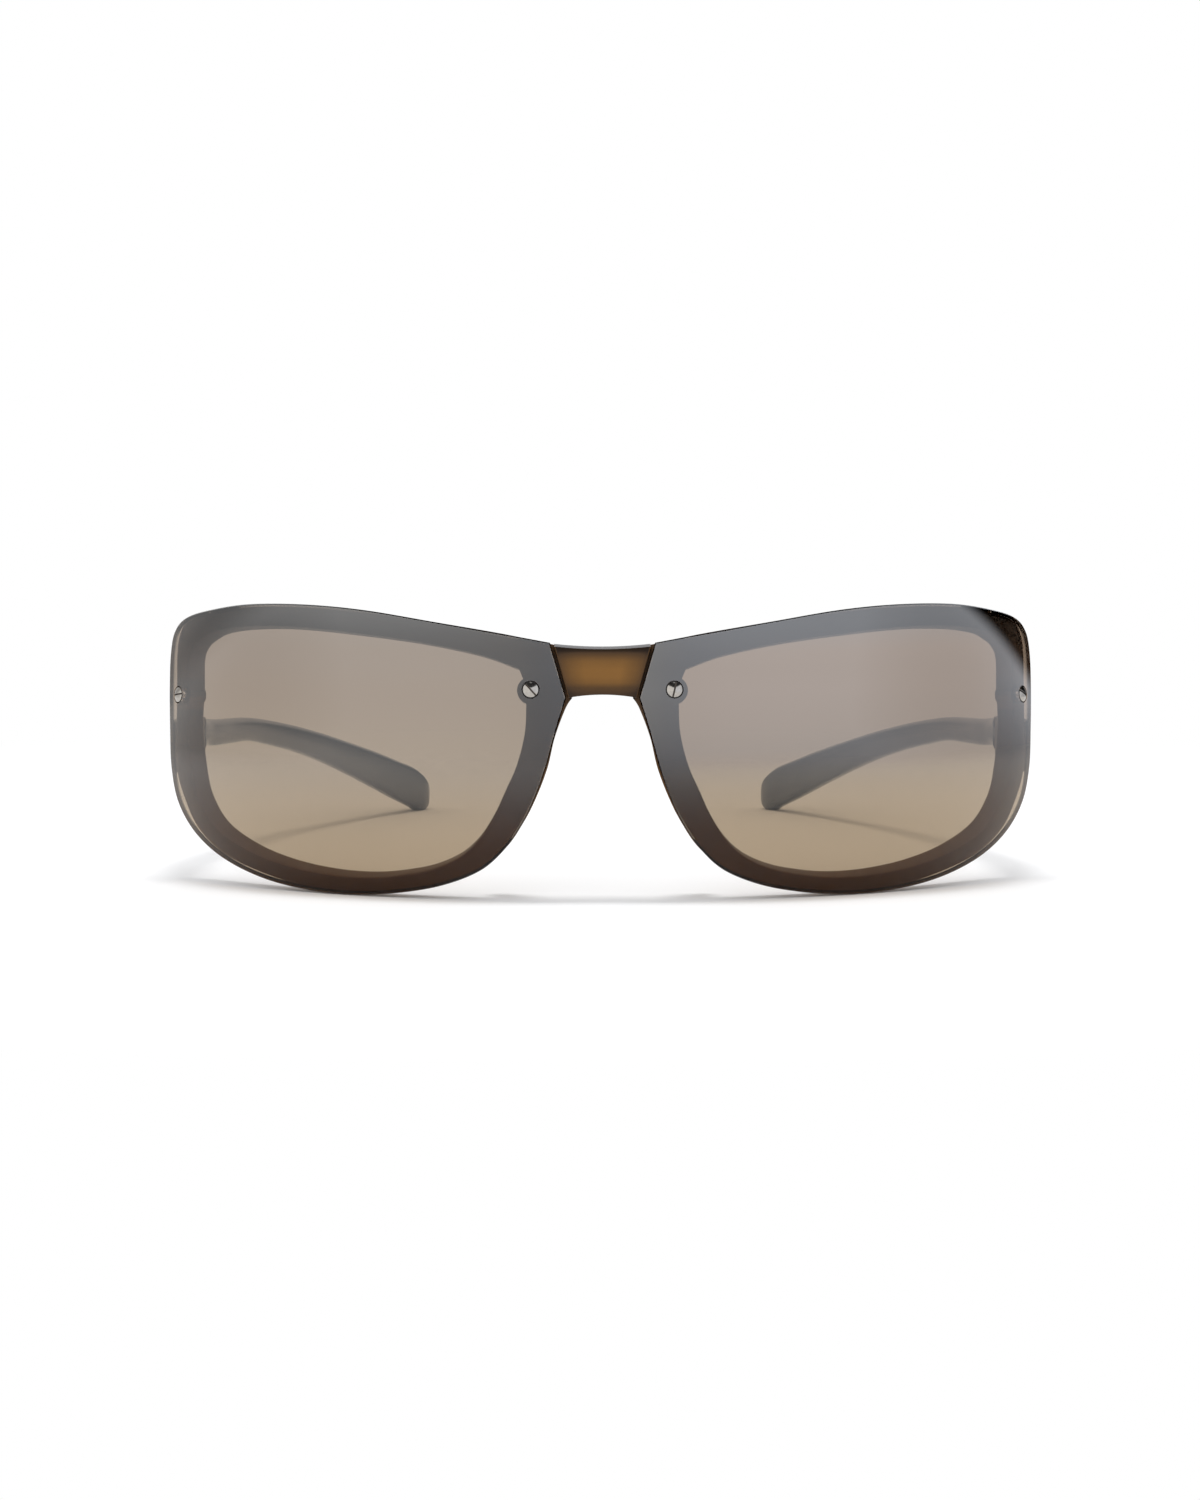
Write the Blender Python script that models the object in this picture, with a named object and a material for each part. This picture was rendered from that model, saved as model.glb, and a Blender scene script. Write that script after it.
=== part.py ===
"""Wraparound sunglasses: a moulded front, two screwed-on lenses and two folding temples.

Built on a datum whose y = 0 plane touches the foremost point of both lens fronts,
with z = 0 at the surface that the lens bottoms and the temple tips rest on.
The wearer's left is +X, the front looks along -Y.
"""
import math

import bmesh
import bpy
from mathutils import Vector

# Lenses: one spherical shell a side, about 8 base, edged square to its own surface.
# The wrap is how far the surface has turned away from the front at the outer edge.
LENS_WIDTH = 0.0624
LENS_HEIGHT = 0.0443
LENS_THICKNESS = 0.0022
LENS_WRAP = math.radians(59.53)
LENS_AXIS_OFFSET = 0.0097
LENS_AXIS_HEIGHT_SHARE = 0.52
LENS_RING_SHARES = (1.0, 0.85, 0.65, 0.35)

# Front: a rim behind each lens, a bridge between them, nose pads in one piece with it
BRIDGE_GAP = 0.0101
BRIDGE_FLANK_GAP = 0.00045
BRIDGE_REVEAL = 0.0001
BRIDGE_BEVEL = 0.00025
BRIDGE_TOP_SAG = 0.0004
BRIDGE_ARCH_RISE = 0.0006
BRIDGE_TOP_DROP = 0.0003
BRIDGE_OVERLAP = 0.0042
BRIDGE_EXTRA_DEPTH = 0.0006
RIM_DEPTH = 0.0028
RIM_CHAMFER = 0.0003
SEAT_GAP = 0.0003
NOSE_BOSS_RADIUS = 0.00205
TEMPLE_BOSS_RADIUS = 0.0015
BOSS_FLOOR = 0.0007

# Nose pads: fins that leave the rim's nose side and flare apart towards the face
PAD_LENGTH = 0.0132
PAD_THICKNESS = 0.003
PAD_REACH = 0.0088
PAD_FLARE = 0.0014
PAD_INSET = 0.0004
PAD_HEIGHT_SHARE = 0.31
PAD_TILT = math.radians(26)

# Lens screws: slotted heads sunk on dark washers into the lens, in brass inserts
SCREW_RADIUS = 0.0007
SCREW_HEAD_RADIUS = 0.00115
SCREW_HEAD_HEIGHT = 0.0005
SCREW_GRIP = 0.0018
SCREW_HEAD_SHARES = ((0.0, 1.0), (0.62, 0.96), (1.0, 0.7), (1.0, 0.0))
SCREW_LEAD_SHARE = 0.7
SLOT_WIDTH = 0.00034
SLOT_DEPTH = 0.0003
SINK_RADIUS = 0.00135
SINK_DEPTH = 0.0006
WASHER_RADIUS = 0.00125
WASHER_THICKNESS = 0.00025
INSERT_RADIUS = 0.00105
INSERT_LENGTH = 0.002
HARDWARE_GAP = 0.0001

# Hinges: a frame slot between two lugs, a temple tongue, one upright screw
TEMPLE_INSET = 0.00105
END_PIECE_LENGTH = 0.0107
END_PIECE_STEP = 0.0024
END_PIECE_DROP = 0.0031
ROOT_THICKNESS = 0.0044
ROOT_HEIGHT = 0.0052
ROOT_ROUND = 0.0005
KNUCKLE_RADIUS = 0.00155
TONGUE_HEIGHT = 0.0019
HINGE_CLEARANCE = 0.0002
HINGE_HEIGHT_SHARE = 0.497
BUTT_GAP = 0.0002
HINGE_HEAD_RADIUS = 0.001
HINGE_HEAD_HEIGHT = 0.00045
HINGE_INSERT_HEIGHT = 0.001
HINGE_SLOT_TURN = math.radians(30)

# Temples: they run back, draw in and drop to paddle-shaped tips
TEMPLE_REACH = 0.0985
TEMPLE_DRAW_IN = 0.0339
PADDLE_HEIGHT = 0.0072
PADDLE_THICKNESS = 0.0028

# Sides of the round pieces and steps along the curves
OUTLINE_STEPS = 3
TEMPLE_STEPS = 2
BRIDGE_ACROSS_STEPS = 8
BRIDGE_UP_STEPS = 4
ROUND_SIDES = 16
BORE_SIDES = 16
SHARP_ANGLE = math.radians(35)
OVERRUN = 0.001

# One row a station, clockwise from the lens's upper bridge corner over the brow to
# its lower bridge corner. Across from the nose corner in lens widths, up from the
# bottom in lens heights, for each of the three walls named here.
WALLS = ("lens edge", "rim outer", "rim inner")
OUTLINE_SHARES = (
    (0.035, 0.878, 0.034, 0.875, 0.120, 0.794),
    (0.156, 0.914, 0.156, 0.911, 0.208, 0.842),
    (0.326, 0.953, 0.326, 0.949, 0.342, 0.882),
    (0.499, 0.988, 0.499, 0.983, 0.493, 0.909),
    (0.650, 1.000, 0.648, 0.991, 0.658, 0.923),
    (0.792, 0.991, 0.783, 0.979, 0.783, 0.915),
    (0.898, 0.960, 0.884, 0.945, 0.860, 0.895),
    (0.959, 0.926, 0.937, 0.906, 0.896, 0.876),
    (0.988, 0.874, 0.957, 0.854, 0.924, 0.845),
    (0.998, 0.799, 0.963, 0.789, 0.937, 0.792),
    (1.000, 0.688, 0.963, 0.680, 0.935, 0.682),
    (0.999, 0.542, 0.964, 0.542, 0.934, 0.546),
    (0.996, 0.395, 0.964, 0.395, 0.924, 0.397),
    (0.978, 0.272, 0.942, 0.285, 0.907, 0.295),
    (0.932, 0.169, 0.907, 0.189, 0.862, 0.200),
    (0.858, 0.090, 0.842, 0.112, 0.778, 0.132),
    (0.754, 0.034, 0.738, 0.056, 0.680, 0.091),
    (0.633, 0.0055, 0.626, 0.022, 0.574, 0.070),
    (0.520, 0.001, 0.517, 0.017, 0.480, 0.068),
    (0.408, 0.017, 0.406, 0.031, 0.401, 0.082),
    (0.304, 0.049, 0.304, 0.060, 0.329, 0.106),
    (0.214, 0.104, 0.214, 0.108, 0.264, 0.150),
    (0.155, 0.181, 0.152, 0.180, 0.216, 0.214),
    (0.113, 0.268, 0.110, 0.268, 0.179, 0.299),
    (0.084, 0.352, 0.080, 0.352, 0.153, 0.380),
    (0.057, 0.456, 0.052, 0.456, 0.126, 0.467),
    (0.033, 0.562, 0.028, 0.562, 0.107, 0.572),
    (0.011, 0.655, 0.005, 0.660, 0.103, 0.664),
    (0.000, 0.700, -0.008, 0.695, 0.104, 0.736),
)

# Where the screws stand on the lens: across in lens widths, up in lens heights
NOSE_SCREW_SHARES = (0.0925, 0.728)
TEMPLE_SCREW_SHARES = (0.975, 0.659)
SLOT_TURNS = {
    ("nose", -1): math.radians(-48),
    ("nose", 1): math.radians(77),
    ("temple", -1): math.radians(12),
    ("temple", 1): math.radians(-35),
}

# Temple stations: back in reaches, in towards the head in draw-ins, height of the
# middle in hinge heights, then the section's height as shares of the root's and of
# the paddle's, and its thickness the same way.
TEMPLE_SHARES = (
    (0.000, 0.000, 1.000, 1.00, 0.00, 1.00, 0.00),
    (0.025, 0.002, 0.995, 0.96, 0.00, 0.95, 0.00),
    (0.060, 0.004, 0.987, 0.88, 0.00, 0.84, 0.00),
    (0.112, 0.015, 0.969, 0.83, 0.00, 0.75, 0.00),
    (0.172, 0.053, 0.940, 0.78, 0.03, 0.65, 0.09),
    (0.254, 0.102, 0.920, 0.68, 0.08, 0.56, 0.19),
    (0.355, 0.177, 0.894, 0.55, 0.14, 0.45, 0.33),
    (0.457, 0.268, 0.827, 0.45, 0.25, 0.34, 0.47),
    (0.558, 0.375, 0.742, 0.32, 0.38, 0.23, 0.64),
    (0.660, 0.495, 0.633, 0.20, 0.54, 0.13, 0.80),
    (0.761, 0.628, 0.500, 0.10, 0.72, 0.05, 0.92),
    (0.843, 0.743, 0.380, 0.03, 0.88, 0.00, 1.00),
    (0.904, 0.838, 0.280, 0.00, 0.97, 0.00, 1.00),
    (0.950, 0.914, 0.204, 0.00, 1.00, 0.00, 1.00),
    (0.973, 0.955, 0.150, 0.00, 0.98, 0.00, 0.96),
    (0.991, 0.985, 0.127, 0.00, 0.74, 0.00, 0.82),
    (1.000, 1.000, 0.124, 0.00, 0.36, 0.00, 0.55),
)
SECTION_ROUND_SHARE = 0.36

# Nose pad stations, from inside the rim to the face: reach, flare, length, thickness
PAD_SHARES = (
    (0.00, 0.00, 0.86, 1.00),
    (0.30, 0.22, 1.00, 1.00),
    (0.60, 0.52, 1.00, 0.90),
    (0.86, 0.84, 0.86, 0.70),
    (1.00, 1.00, 0.56, 0.34),
)
PAD_SIDES = 14

# Sizes worked out from the ones above
LENS_AXIS_HEIGHT = LENS_HEIGHT * LENS_AXIS_HEIGHT_SHARE
LENS_OUTER = BRIDGE_GAP / 2 + LENS_WIDTH
LENS_RADIUS = (LENS_OUTER - LENS_AXIS_OFFSET) / math.sin(LENS_WRAP)
LENS_BACK_RADIUS = LENS_RADIUS - LENS_THICKNESS
RIM_FRONT_RADIUS = LENS_BACK_RADIUS - SEAT_GAP
RIM_BACK_RADIUS = RIM_FRONT_RADIUS - RIM_DEPTH
HINGE_Z = LENS_HEIGHT * HINGE_HEIGHT_SHARE
TEMPLE_OUTER = LENS_OUTER - TEMPLE_INSET
TEMPLE_INNER = TEMPLE_OUTER - ROOT_THICKNESS
HINGE_X = TEMPLE_INNER + KNUCKLE_RADIUS + HARDWARE_GAP / 2
BORE_RADIUS = SCREW_RADIUS + HARDWARE_GAP
POCKET_RADIUS = INSERT_RADIUS + HARDWARE_GAP
LUG_TOP = ROOT_HEIGHT / 2 - HARDWARE_GAP
LUG_FOOT = TONGUE_HEIGHT / 2 + HINGE_CLEARANCE


def sphere_y(x, z, radius):
    """Depth of a sphere about the lens's centre, on the +X side, at x and z."""
    across, up = abs(x) - LENS_AXIS_OFFSET, z - LENS_AXIS_HEIGHT
    return LENS_RADIUS - math.sqrt(radius**2 - across**2 - up**2)


def lens_centre(side=1):
    """Centre of the spheres that a lens and its rim follow."""
    return Vector((side * LENS_AXIS_OFFSET, LENS_RADIUS, LENS_AXIS_HEIGHT))


def towards(x, z, radius):
    """Direction from a lens's centre to a point of a sphere about it, given from the front."""
    return (Vector((x, sphere_y(x, z, radius), z)) - lens_centre()).normalized()


LENS_EDGE_Y = sphere_y(LENS_OUTER, LENS_AXIS_HEIGHT, LENS_RADIUS)
HINGE_Y = LENS_EDGE_Y + LENS_THICKNESS / 2 + END_PIECE_LENGTH


def spline(points, steps):
    """Points along a smooth curve through the given ones, ends included."""
    curve = []
    last = len(points) - 1
    for i in range(last):
        before, start = points[max(i - 1, 0)], points[i]
        end, after = points[i + 1], points[min(i + 2, last)]
        for step in range(steps):
            t = step / steps
            curve.append(
                tuple(
                    b + t * (c - a) / 2
                    + t * t * (a - 5 * b / 2 + 2 * c - d / 2)
                    + t * t * t * (3 * (b - c) + d - a) / 2
                    for a, b, c, d in zip(before, start, end, after)
                )
            )
    return curve + [tuple(points[last])]


def on_front(across_share, up_share):
    """Across and up positions of a point given in lens widths and heights."""
    return BRIDGE_GAP / 2 + across_share * LENS_WIDTH, up_share * LENS_HEIGHT


def stations(wall):
    """The table's stations of one wall as (x, z)."""
    pairs = [tuple(zip(row[::2], row[1::2])) for row in OUTLINE_SHARES]
    return [on_front(*row[WALLS.index(wall)]) for row in pairs]


def outline(wall):
    """Closed outline (x, z) of one wall, on the +X side."""
    curve = spline(stations(wall), OUTLINE_STEPS)
    (x0, z0), (x1, z1) = curve[-1], curve[0]
    for step in range(1, OUTLINE_STEPS):
        t = step / OUTLINE_STEPS
        curve.append((x0 + t * (x1 - x0), z0 + t * (z1 - z0)))
    return curve


def loft(rings, closed=False):
    """Quads between rings of equal length, capped at both ends unless closed."""
    count = len(rings[0])
    verts = [point for ring in rings for point in ring]
    faces = []
    spans = len(rings) if closed else len(rings) - 1
    for r in range(spans):
        a, b = r * count, (r + 1) % len(rings) * count
        for i in range(count):
            j = (i + 1) % count
            faces.append((a + i, a + j, b + j, b + i))
    if not closed:
        faces.append(tuple(range(count)))
        faces.append(tuple(range(len(verts) - 1, len(verts) - 1 - count, -1)))
    return verts, faces


def slab(front, back):
    """Closed solid between two matching grids of points, each a list of rows."""
    rows, columns = len(front), len(front[0])
    verts = [p for row in front for p in row] + [p for row in back for p in row]
    far = rows * columns
    faces = []
    for r in range(rows - 1):
        for c in range(columns - 1):
            i = r * columns + c
            quad = (i, i + 1, i + columns + 1, i + columns)
            faces.append(quad)
            faces.append(tuple(far + k for k in reversed(quad)))
    border = [c for c in range(columns)]
    border += [r * columns + columns - 1 for r in range(1, rows)]
    border += [(rows - 1) * columns + c for c in range(columns - 2, -1, -1)]
    border += [r * columns for r in range(rows - 2, 0, -1)]
    for a, b in zip(border, border[1:] + border[:1]):
        faces.append((a, b, far + b, far + a))
    return verts, faces


def lathe(profile, sides):
    """Solid turned about local Z from (radius, height) points; ends lie on the axis."""
    verts, faces = [], []
    rings = []
    for radius, height in profile:
        if radius == 0:
            rings.append([len(verts)])
            verts.append((0, 0, height))
            continue
        rings.append(list(range(len(verts), len(verts) + sides)))
        for k in range(sides):
            turn = 2 * math.pi * k / sides
            verts.append((radius * math.cos(turn), radius * math.sin(turn), height))
    for upper, lower in zip(rings, rings[1:]):
        for k in range(sides):
            ring = [upper[k % len(upper)], lower[k % len(lower)]]
            ring += [lower[(k + 1) % len(lower)], upper[(k + 1) % len(upper)]]
            faces.append(tuple(dict.fromkeys(ring)))
    return verts, faces


def tube(outer, inner, bottom, top, sides):
    """Straight tube about local Z."""
    corners = ((outer, bottom), (outer, top), (inner, top), (inner, bottom))
    rings = []
    for radius, height in corners:
        ring = []
        for k in range(sides):
            turn = 2 * math.pi * k / sides
            ring.append((radius * math.cos(turn), radius * math.sin(turn), height))
        rings.append(ring)
    return loft(rings, closed=True)


def rod(radius, bottom, top, sides):
    """Plain cylinder about local Z."""
    return lathe(((0, top), (radius, top), (radius, bottom), (0, bottom)), sides)


def prism(outline_xy, bottom, top):
    """Upright solid over a plan outline."""
    return loft([[(x, y, z) for x, y in outline_xy] for z in (bottom, top)])


def mirrored(shape):
    """The same solid on the -X side."""
    verts, faces = shape
    return [(-x, y, z) for x, y, z in verts], [tuple(reversed(f)) for f in faces]


def on_side(shape, side):
    return shape if side > 0 else mirrored(shape)


def together(*shapes):
    """Several separate solids as one mesh."""
    verts, faces = [], []
    for more_verts, more_faces in shapes:
        base = len(verts)
        verts += more_verts
        faces += [tuple(base + i for i in face) for face in more_faces]
    return verts, faces


def both_sides(shape):
    return together(shape, mirrored(shape))


def placed(shape, at, axis=Vector((0, 0, 1))):
    """The solid with its local Z turned along axis and its origin moved to at."""
    verts, faces = shape
    turn = axis.to_track_quat("Z", "Y")
    return [tuple(turn @ Vector(v) + Vector(at)) for v in verts], faces


def add(name, shape, material=None, at=(0, 0, 0), axis=None):
    """A named object on the datum; faces are turned to look outwards."""
    mesh = bpy.data.meshes.new(name)
    mesh.from_pydata(shape[0], [], shape[1])
    bm = bmesh.new()
    bm.from_mesh(mesh)
    bmesh.ops.recalc_face_normals(bm, faces=bm.faces)
    bm.to_mesh(mesh)
    bm.free()
    mesh.shade_smooth()
    mesh.set_sharp_from_angle(angle=SHARP_ANGLE)
    body = bpy.data.objects.new(name, mesh)
    bpy.context.scene.collection.objects.link(body)
    body.parent = datum
    body.location = at
    if axis is not None:
        body.rotation_mode = "QUATERNION"
        body.rotation_quaternion = axis.to_track_quat("Z", "Y")
    if material:
        mesh.materials.append(material)
    return body


def combine(body, operation, name, shape, at=(0, 0, 0), axis=None):
    """Unite a shape with a body, or cut it out, by a live exact Boolean."""
    other = add(name, shape, at=at, axis=axis)
    other.hide_render = True
    other.display_type = "WIRE"
    modifier = body.modifiers.new(name, "BOOLEAN")
    modifier.operation = operation
    modifier.solver = "EXACT"
    modifier.object = other


def finish(name, colour, roughness, metallic=0.0, transmission=0.0):
    material = bpy.data.materials.new(name)
    material.use_nodes = True
    shader = material.node_tree.nodes["Principled BSDF"]
    shader.inputs["Base Color"].default_value = (*colour, 1.0)
    shader.inputs["Roughness"].default_value = roughness
    shader.inputs["Metallic"].default_value = metallic
    shader.inputs["Transmission Weight"].default_value = transmission
    return material


def screw_seat(shares, side):
    """Point on the lens front where a screw stands, and the outward normal there."""
    x, z = on_front(*shares)
    point = Vector((side * x, sphere_y(x, z, LENS_RADIUS), z))
    return point, (point - lens_centre(side)).normalized()


def lens_shape():
    """Spherical shell with an edge square to its surface, on the +X side."""
    centre = lens_centre()
    edge = [towards(x, z, LENS_RADIUS) for x, z in outline("lens edge")]
    middle = sum(edge, Vector()).normalized()
    verts, faces = [], []
    count, rings = len(edge), len(LENS_RING_SHARES)
    for radius in (LENS_RADIUS, LENS_BACK_RADIUS):
        base = len(verts)
        for share in LENS_RING_SHARES + (0.0,):
            for way in edge if share else edge[:1]:
                verts.append(tuple(centre + radius * middle.lerp(way, share).normalized()))
        for r in range(rings - 1):
            for i in range(count):
                a, j = base + r * count, (i + 1) % count
                faces.append((a + i, a + j, a + count + j, a + count + i))
        a, hub = base + (rings - 1) * count, base + rings * count
        faces += [(a + i, a + (i + 1) % count, hub) for i in range(count)]
    back = rings * count + 1
    faces += [(i, (i + 1) % count, back + (i + 1) % count, back + i) for i in range(count)]
    return verts, faces


def rim_shape():
    """Band behind a lens with its walls square to the lens, on the +X side."""
    shallow, deep = RIM_FRONT_RADIUS - RIM_CHAMFER, RIM_BACK_RADIUS + RIM_CHAMFER
    rings = []
    for outer, inner in zip(outline("rim outer"), outline("rim inner")):
        out, within = towards(*outer, RIM_FRONT_RADIUS), towards(*inner, RIM_FRONT_RADIUS)
        ease = (within - out).normalized() * (RIM_CHAMFER / RIM_FRONT_RADIUS)
        corners = (
            (out + ease, RIM_FRONT_RADIUS),
            (out, shallow),
            (out, deep),
            (out + ease, RIM_BACK_RADIUS),
            (within - ease, RIM_BACK_RADIUS),
            (within, deep),
            (within, shallow),
            (within - ease, RIM_FRONT_RADIUS),
        )
        rings.append([tuple(lens_centre() + way.normalized() * r) for way, r in corners])
    return loft(rings, closed=True)


def bridge_shape(half_top, half_bottom, front_radius, bevel):
    """Block between the rims; its front follows the curve of the lens fronts."""
    top = stations("lens edge")[0][1] - BRIDGE_TOP_DROP
    bottom = stations("lens edge")[-1][1]
    back_radius = RIM_BACK_RADIUS - BRIDGE_EXTRA_DEPTH
    layers = []
    for radius, inset in ((front_radius, bevel), (front_radius - bevel, 0), (back_radius, 0)):
        grid = []
        for r in range(BRIDGE_UP_STEPS + 1):
            up, row = r / BRIDGE_UP_STEPS, []
            for c in range(BRIDGE_ACROSS_STEPS + 1):
                t = 2 * c / BRIDGE_ACROSS_STEPS - 1
                x = t * ((half_bottom + up * (half_top - half_bottom)) - inset)
                low = bottom + BRIDGE_ARCH_RISE * (1 - t * t) + inset
                high = top - BRIDGE_TOP_SAG * (1 - t * t) - inset
                z = low + up * (high - low)
                row.append((x, sphere_y(LENS_AXIS_OFFSET, z, radius), z))
            grid.append(row)
        layers.append(grid)
    front, shoulder, back = layers
    return bevelled_slab(front, shoulder, back) if bevel else slab(front, back)


def bevelled_slab(front, shoulder, back):
    """A slab whose side walls turn a bevel at the shoulder grid's border."""
    verts, faces = slab(front, back)
    rows, columns = len(front), len(front[0])
    far, extra = rows * columns, len(verts)
    flat = [p for row in shoulder for p in row]
    slot = {}
    kept = []
    for face in faces:
        fronts = [i for i in face if i < far]
        backs = [i for i in face if i >= far]
        if fronts and backs:
            a, b = fronts
            for i in (a, b):
                if i not in slot:
                    slot[i] = extra + len(slot)
                    verts.append(flat[i])
            kept.append((a, b, slot[b], slot[a]))
            kept.append((slot[a], slot[b], far + b, far + a))
        else:
            kept.append(face)
    return verts, kept


def nose_flank(height):
    """Across position of the rim's outer wall on its nose side, at a height."""
    near = sorted(outline("rim outer"), key=lambda point: abs(point[1] - height))
    return min(near[: 2 * OUTLINE_STEPS])[0]


def pad_shape():
    """Nose pad, as rings that step back from inside the rim's nose flank."""
    pad_z = PAD_HEIGHT_SHARE * LENS_HEIGHT
    root_x = nose_flank(pad_z) + PAD_INSET + PAD_THICKNESS / 2
    rings = []
    for reach, flare, length, thickness in PAD_SHARES:
        ring = []
        for k in range(PAD_SIDES):
            turn = 2 * math.pi * k / PAD_SIDES
            along = length * PAD_LENGTH / 2 * math.sin(turn)
            out = thickness * PAD_THICKNESS / 2 * math.cos(turn)
            x = root_x + out * math.cos(PAD_TILT) - along * math.sin(PAD_TILT)
            z = pad_z + out * math.sin(PAD_TILT) + along * math.cos(PAD_TILT)
            y = sphere_y(x, z, RIM_FRONT_RADIUS) + RIM_CHAMFER + reach * PAD_REACH
            ring.append((x + flare * PAD_FLARE, y, z))
        rings.append(ring)
    return loft(rings)


def outermost(wall, z):
    """How far out a wall's outline reaches at height z."""
    points = outline(wall)
    return max(
        x0 + (x1 - x0) * (z - z0) / (z1 - z0)
        for (x0, z0), (x1, z1) in zip(points, points[1:])
        if (z0 - z) * (z1 - z) < 0
    )


def end_piece_ring(foot, drop):
    """Plan of an end piece at height foot, whose front hangs lower by drop."""
    stop_y = HINGE_Y - BUTT_GAP / 2
    clear_y = HINGE_Y - (HINGE_X - TEMPLE_INNER) - HINGE_CLEARANCE
    front_z = foot - drop
    flank = towards(outermost("rim outer", front_z), front_z, RIM_FRONT_RADIUS)
    within = towards(outermost("rim inner", front_z), front_z, RIM_FRONT_RADIUS)
    start = lens_centre() + (flank + within).normalized() * (RIM_FRONT_RADIUS - RIM_DEPTH / 2)
    edge = lens_centre() + flank * (RIM_FRONT_RADIUS - RIM_CHAMFER * 2)
    root_y = sphere_y(TEMPLE_INNER, front_z, RIM_BACK_RADIUS + RIM_CHAMFER)
    plan = (
        (start.x, start.y),
        (edge.x, edge.y),
        (TEMPLE_OUTER - RIM_CHAMFER * 2, edge.y + RIM_CHAMFER * 2),
        (TEMPLE_OUTER, edge.y + END_PIECE_STEP / 2),
        (TEMPLE_OUTER, stop_y),
        (HINGE_X, stop_y),
        (HINGE_X, clear_y),
        (TEMPLE_INNER, clear_y),
        (TEMPLE_INNER, root_y),
    )
    slope = drop / (stop_y - start.y)
    return [(x, y, foot - slope * (stop_y - y)) for x, y in plan]


def end_piece_shape():
    """Block from the rim's outer flank back to the temple, deepest in front, stepped at the hinge."""
    foot, top = HINGE_Z - ROOT_HEIGHT / 2, HINGE_Z + ROOT_HEIGHT / 2
    return loft([end_piece_ring(foot, END_PIECE_DROP), end_piece_ring(top, 0)])


def lugs_shape():
    """The two lugs above and below the temple's tongue, about the hinge axis."""
    upper = rod(KNUCKLE_RADIUS, LUG_FOOT, LUG_TOP, ROUND_SIDES)
    lower = rod(KNUCKLE_RADIUS, -LUG_TOP, -LUG_FOOT, ROUND_SIDES)
    return placed(together(upper, lower), (HINGE_X, HINGE_Y, HINGE_Z))


def temple_shape():
    """Swept temple about its own hinge axis, on the +X side."""
    stations = []
    for back, inwards, middle, root, paddle, root_thick, paddle_thick in TEMPLE_SHARES:
        stations.append(
            (
                BUTT_GAP / 2 + back * (TEMPLE_REACH - BUTT_GAP / 2),
                (TEMPLE_OUTER + TEMPLE_INNER) / 2 - HINGE_X - inwards * TEMPLE_DRAW_IN,
                middle * HINGE_Z - HINGE_Z,
                root * ROOT_HEIGHT + paddle * PADDLE_HEIGHT,
                root_thick * ROOT_THICKNESS + paddle_thick * PADDLE_THICKNESS,
            )
        )
    curve = spline(stations, TEMPLE_STEPS)
    rings = []
    for i, (y, x, z, height, thickness) in enumerate(curve):
        ahead, behind = curve[min(i + 1, len(curve) - 1)], curve[max(i - 1, 0)]
        run = Vector((ahead[1] - behind[1], ahead[0] - behind[0])).normalized()
        if i == 0:
            run = Vector((0, 1))
        corner = SECTION_ROUND_SHARE * min(thickness, height) if i else ROOT_ROUND
        ring = []
        for out, up in rounded_section(thickness / 2, height / 2, corner):
            ring.append((x + out * run.y, y - out * run.x, z + up))
        rings.append(ring)
    return loft(rings)


def rounded_section(half_width, half_height, corner):
    """Rectangle whose corners are arcs of three points."""
    points = []
    for sx, sz, start in ((1, 1, 0), (-1, 1, 90), (-1, -1, 180), (1, -1, 270)):
        for step in range(3):
            turn = math.radians(start + 45 * step)
            points.append(
                (
                    sx * (half_width - corner) + corner * math.cos(turn),
                    sz * (half_height - corner) + corner * math.sin(turn),
                )
            )
    return points


def cut_flat(body, level):
    """Trim a body at a horizontal plane in its own space and close it with a flat."""
    bm = bmesh.new()
    bm.from_mesh(body.data)
    everything = bm.verts[:] + bm.edges[:] + bm.faces[:]
    bmesh.ops.bisect_plane(
        bm, geom=everything, plane_co=(0, 0, level), plane_no=(0, 0, -1), clear_outer=True
    )
    rim = [edge for edge in bm.edges if edge.is_boundary]
    bmesh.ops.edgeloop_fill(bm, edges=rim)
    bmesh.ops.recalc_face_normals(bm, faces=bm.faces)
    bm.to_mesh(body.data)
    bm.free()


def sunk_hole():
    """Cutter for a screw's hole in a lens, with a round sink for its washer and head."""
    through = -LENS_THICKNESS - OVERRUN
    return lathe(
        (
            (0, OVERRUN),
            (SINK_RADIUS, OVERRUN),
            (SINK_RADIUS, -SINK_DEPTH),
            (BORE_RADIUS, -SINK_DEPTH),
            (BORE_RADIUS, through),
            (0, through),
        ),
        BORE_SIDES,
    )


def screw_shape(radius, head_radius, head_height, length):
    """Pan head above z = 0, shank below it with a small lead."""
    profile = [(r * head_radius, h * head_height) for r, h in SCREW_HEAD_SHARES]
    profile += [(radius, 0), (radius, radius - length)]
    profile += [(radius * SCREW_LEAD_SHARE, -length), (0, -length)]
    return lathe(profile, ROUND_SIDES)


def slot_shape(head_radius, head_height, turn):
    """Cutter for a screwdriver slot at the top of a head."""
    half_length, half_width = head_radius + OVERRUN, SLOT_WIDTH / 2
    along = Vector((math.cos(turn), math.sin(turn)))
    side = Vector((-along.y, along.x))
    corners = []
    for a, b in ((1, 1), (-1, 1), (-1, -1), (1, -1)):
        corner = along * (a * half_length) + side * (b * half_width)
        corners.append((corner.x, corner.y))
    return prism(corners, head_height - SLOT_DEPTH, head_height + OVERRUN)


for old in list(bpy.data.objects):
    bpy.data.objects.remove(old, do_unlink=True)

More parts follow.
